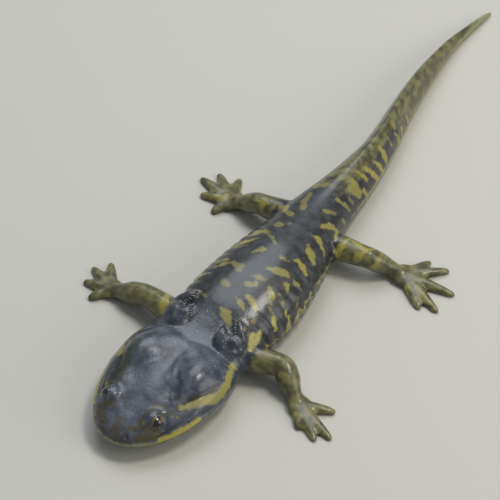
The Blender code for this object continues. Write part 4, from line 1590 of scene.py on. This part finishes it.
@dataclass
class Studio:
    """A pale floor, soft round lights and the camera above the animal's front left.

    Attributes:
        target: the place that the camera looks at, in metres.
        azimuth: the camera's angle from the front towards the animal's left, in degrees.
        elevation: its angle above the floor.
        distance: its distance from the target, in metres.
        lens: its focal length.
        sensor: its sensor's width.
        floor_size: half the floor's width, in metres.
        lamps: name, place in metres, diameter, watts and colour of each light.
        surround: colour of the background's light.
        surround_strength: how much of it there is.
    """

    target: Vector
    azimuth: float = 34.0
    elevation: float = 48.0
    distance: float = 1.2
    lens: float = 246.86
    sensor: float = 36.0
    floor_size: float = 3.0
    lamps: tuple = (
        ("sky_panel", (-0.52, 0.62, 1.25), 1.05, 13.5, "#e1e8f2"),
        ("key_panel", (0.36, 0.34, 1.2), 0.4, 7.5, "#fffaf0"),
        ("fill_panel", (1.1, 0.25, 0.6), 0.9, 6.5, "#f3f1ea"),
    )
    surround: str = "#c9ced4"
    surround_strength: float = 0.45

    def floor(self) -> None:
        """Lay the floor."""
        mesh = bmesh.new()
        bmesh.ops.create_grid(mesh, x_segments=1, y_segments=1, size=self.floor_size)
        data = as_data("floor", mesh)
        data.materials.append(PaleFloor().make())
        link("floor", data)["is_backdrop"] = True

    def aim(self, name: str, data: bpy.types.ID, place: Vector, toward: Vector) -> bpy.types.Object:
        """Hang a light or camera so that it looks in a direction.

        Args:
            name: its name.
            data: the light or camera.
            place: where it hangs, in metres.
            toward: the direction that it looks in.

        Returns:
            Its object.
        """
        thing = link(name, data)
        thing.location = place
        thing.rotation_euler = toward.to_track_quat("-Z", "Y").to_euler()
        return thing

    def light(self) -> None:
        """Hang the lights, each facing the animal, and set the background's light."""
        for name, place, size, power, colour in self.lamps:
            lamp = bpy.data.lights.new(name, "AREA")
            lamp.shape = "DISK"
            lamp.size = size
            lamp.energy = power
            lamp.color = linear(colour)[:3]
            self.aim(name, lamp, Vector(place), -Vector(place))
        world = bpy.data.worlds.new("studio")
        world.use_nodes = True
        feed(world.node_tree.nodes["Background"], {
            "Color": linear(self.surround), "Strength": self.surround_strength,
        })
        bpy.context.scene.world = world
        bpy.context.scene.view_settings.view_transform = "Standard"

    def camera(self) -> None:
        """Set the camera."""
        turn, lift = np.radians(self.azimuth), np.radians(self.elevation)
        back = Vector((np.sin(turn) * np.cos(lift), -np.cos(turn) * np.cos(lift), np.sin(lift)))
        lens = bpy.data.cameras.new("camera")
        lens.sensor_width = self.sensor
        lens.lens = self.lens
        lens.clip_start = 0.01
        bpy.context.scene.camera = self.aim("camera", lens, self.target + back * self.distance, -back)

    def build(self) -> None:
        """Make the floor, the lights and the camera."""
        self.floor()
        self.light()
        self.camera()


# The point of the floor in the middle of the picture, in millimetres
VIEW_CENTRE = (-14.0, 101.3, 0.0)

LEGS = (
    Limb(
        "foreleg_left",
        ((8.0, 51.5, 9.0), (28.7, 58.3, 7.2), (35.6, 53.6, 3.4), (39.6, 51.2, 1.9)),
        (5.0, 4.7, 4.0, 4.2, 3.0, 1.8),
        ((44.8, 42.6), (52.4, 41.7), (56.6, 45.2), (51.4, 56.2)), 4.3),
    Limb(
        "foreleg_right",
        ((-7.0, 55.5, 9.0), (-28.6, 58.6, 7.2), (-38.0, 58.2, 3.4), (-42.6, 58.4, 1.9)),
        (5.0, 4.7, 4.0, 4.2, 3.0, 1.8),
        ((-47.4, 50.6), (-53.4, 56.2), (-54.6, 63.4), (-50.4, 68.6)), 4.3),
    Limb(
        "hindleg_left",
        ((3.0, 111.0, 9.0), (25.4, 115.2, 8.0), (32.4, 119.0, 3.6), (37.8, 120.2, 1.9)),
        (5.2, 4.8, 3.9, 3.8, 2.9, 1.8),
        ((50.2, 110.4), (56.2, 112.8), (57.0, 122.8), (49.4, 131.6), (42.0, 131.4)), 4.9),
    Limb(
        "hindleg_right",
        ((0.0, 116.8, 9.0), (-19.4, 115.4, 8.0), (-27.0, 115.8, 3.6), (-32.0, 116.0, 1.9)),
        (5.2, 4.8, 3.9, 3.8, 2.9, 1.8),
        ((-34.8, 107.6), (-43.2, 112.6), (-47.6, 119.6), (-43.4, 125.0), (-35.6, 127.0)), 4.9),
)


def main() -> None:
    """Build the animal and its studio, and report each piece."""
    logging.basicConfig(level=logging.INFO, format="%(name)s: %(message)s")
    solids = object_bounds()
    eyes = (Eye(Side.LEFT), Eye(Side.RIGHT))
    low, high = (np.array(corner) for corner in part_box("eye_left"))
    shift = 0.5 * (low + high) - eyes[0].centre() * MM

    def to_frame(points: Points) -> Points:
        """Turn millimetres of this file into metres of the frame."""
        return points * MM + shift

    room = tuple(np.array(corner) for corner in solids)
    pieces = [Skin(LEGS, eyes).build(to_frame, room, WetSkin())]
    pieces += [eye.build(to_frame, EyeFinish()) for eye in eyes]
    gill_skin = GillSkin().make()
    pieces += [Fringe(side).build(to_frame, gill_skin) for side in Side]
    for piece in pieces:
        log.info("%s: %d faces", piece.name, len(piece.data.polygons))
    Studio(Vector(to_frame(np.array(VIEW_CENTRE)))).build()


if __name__ == "__main__":
    main()
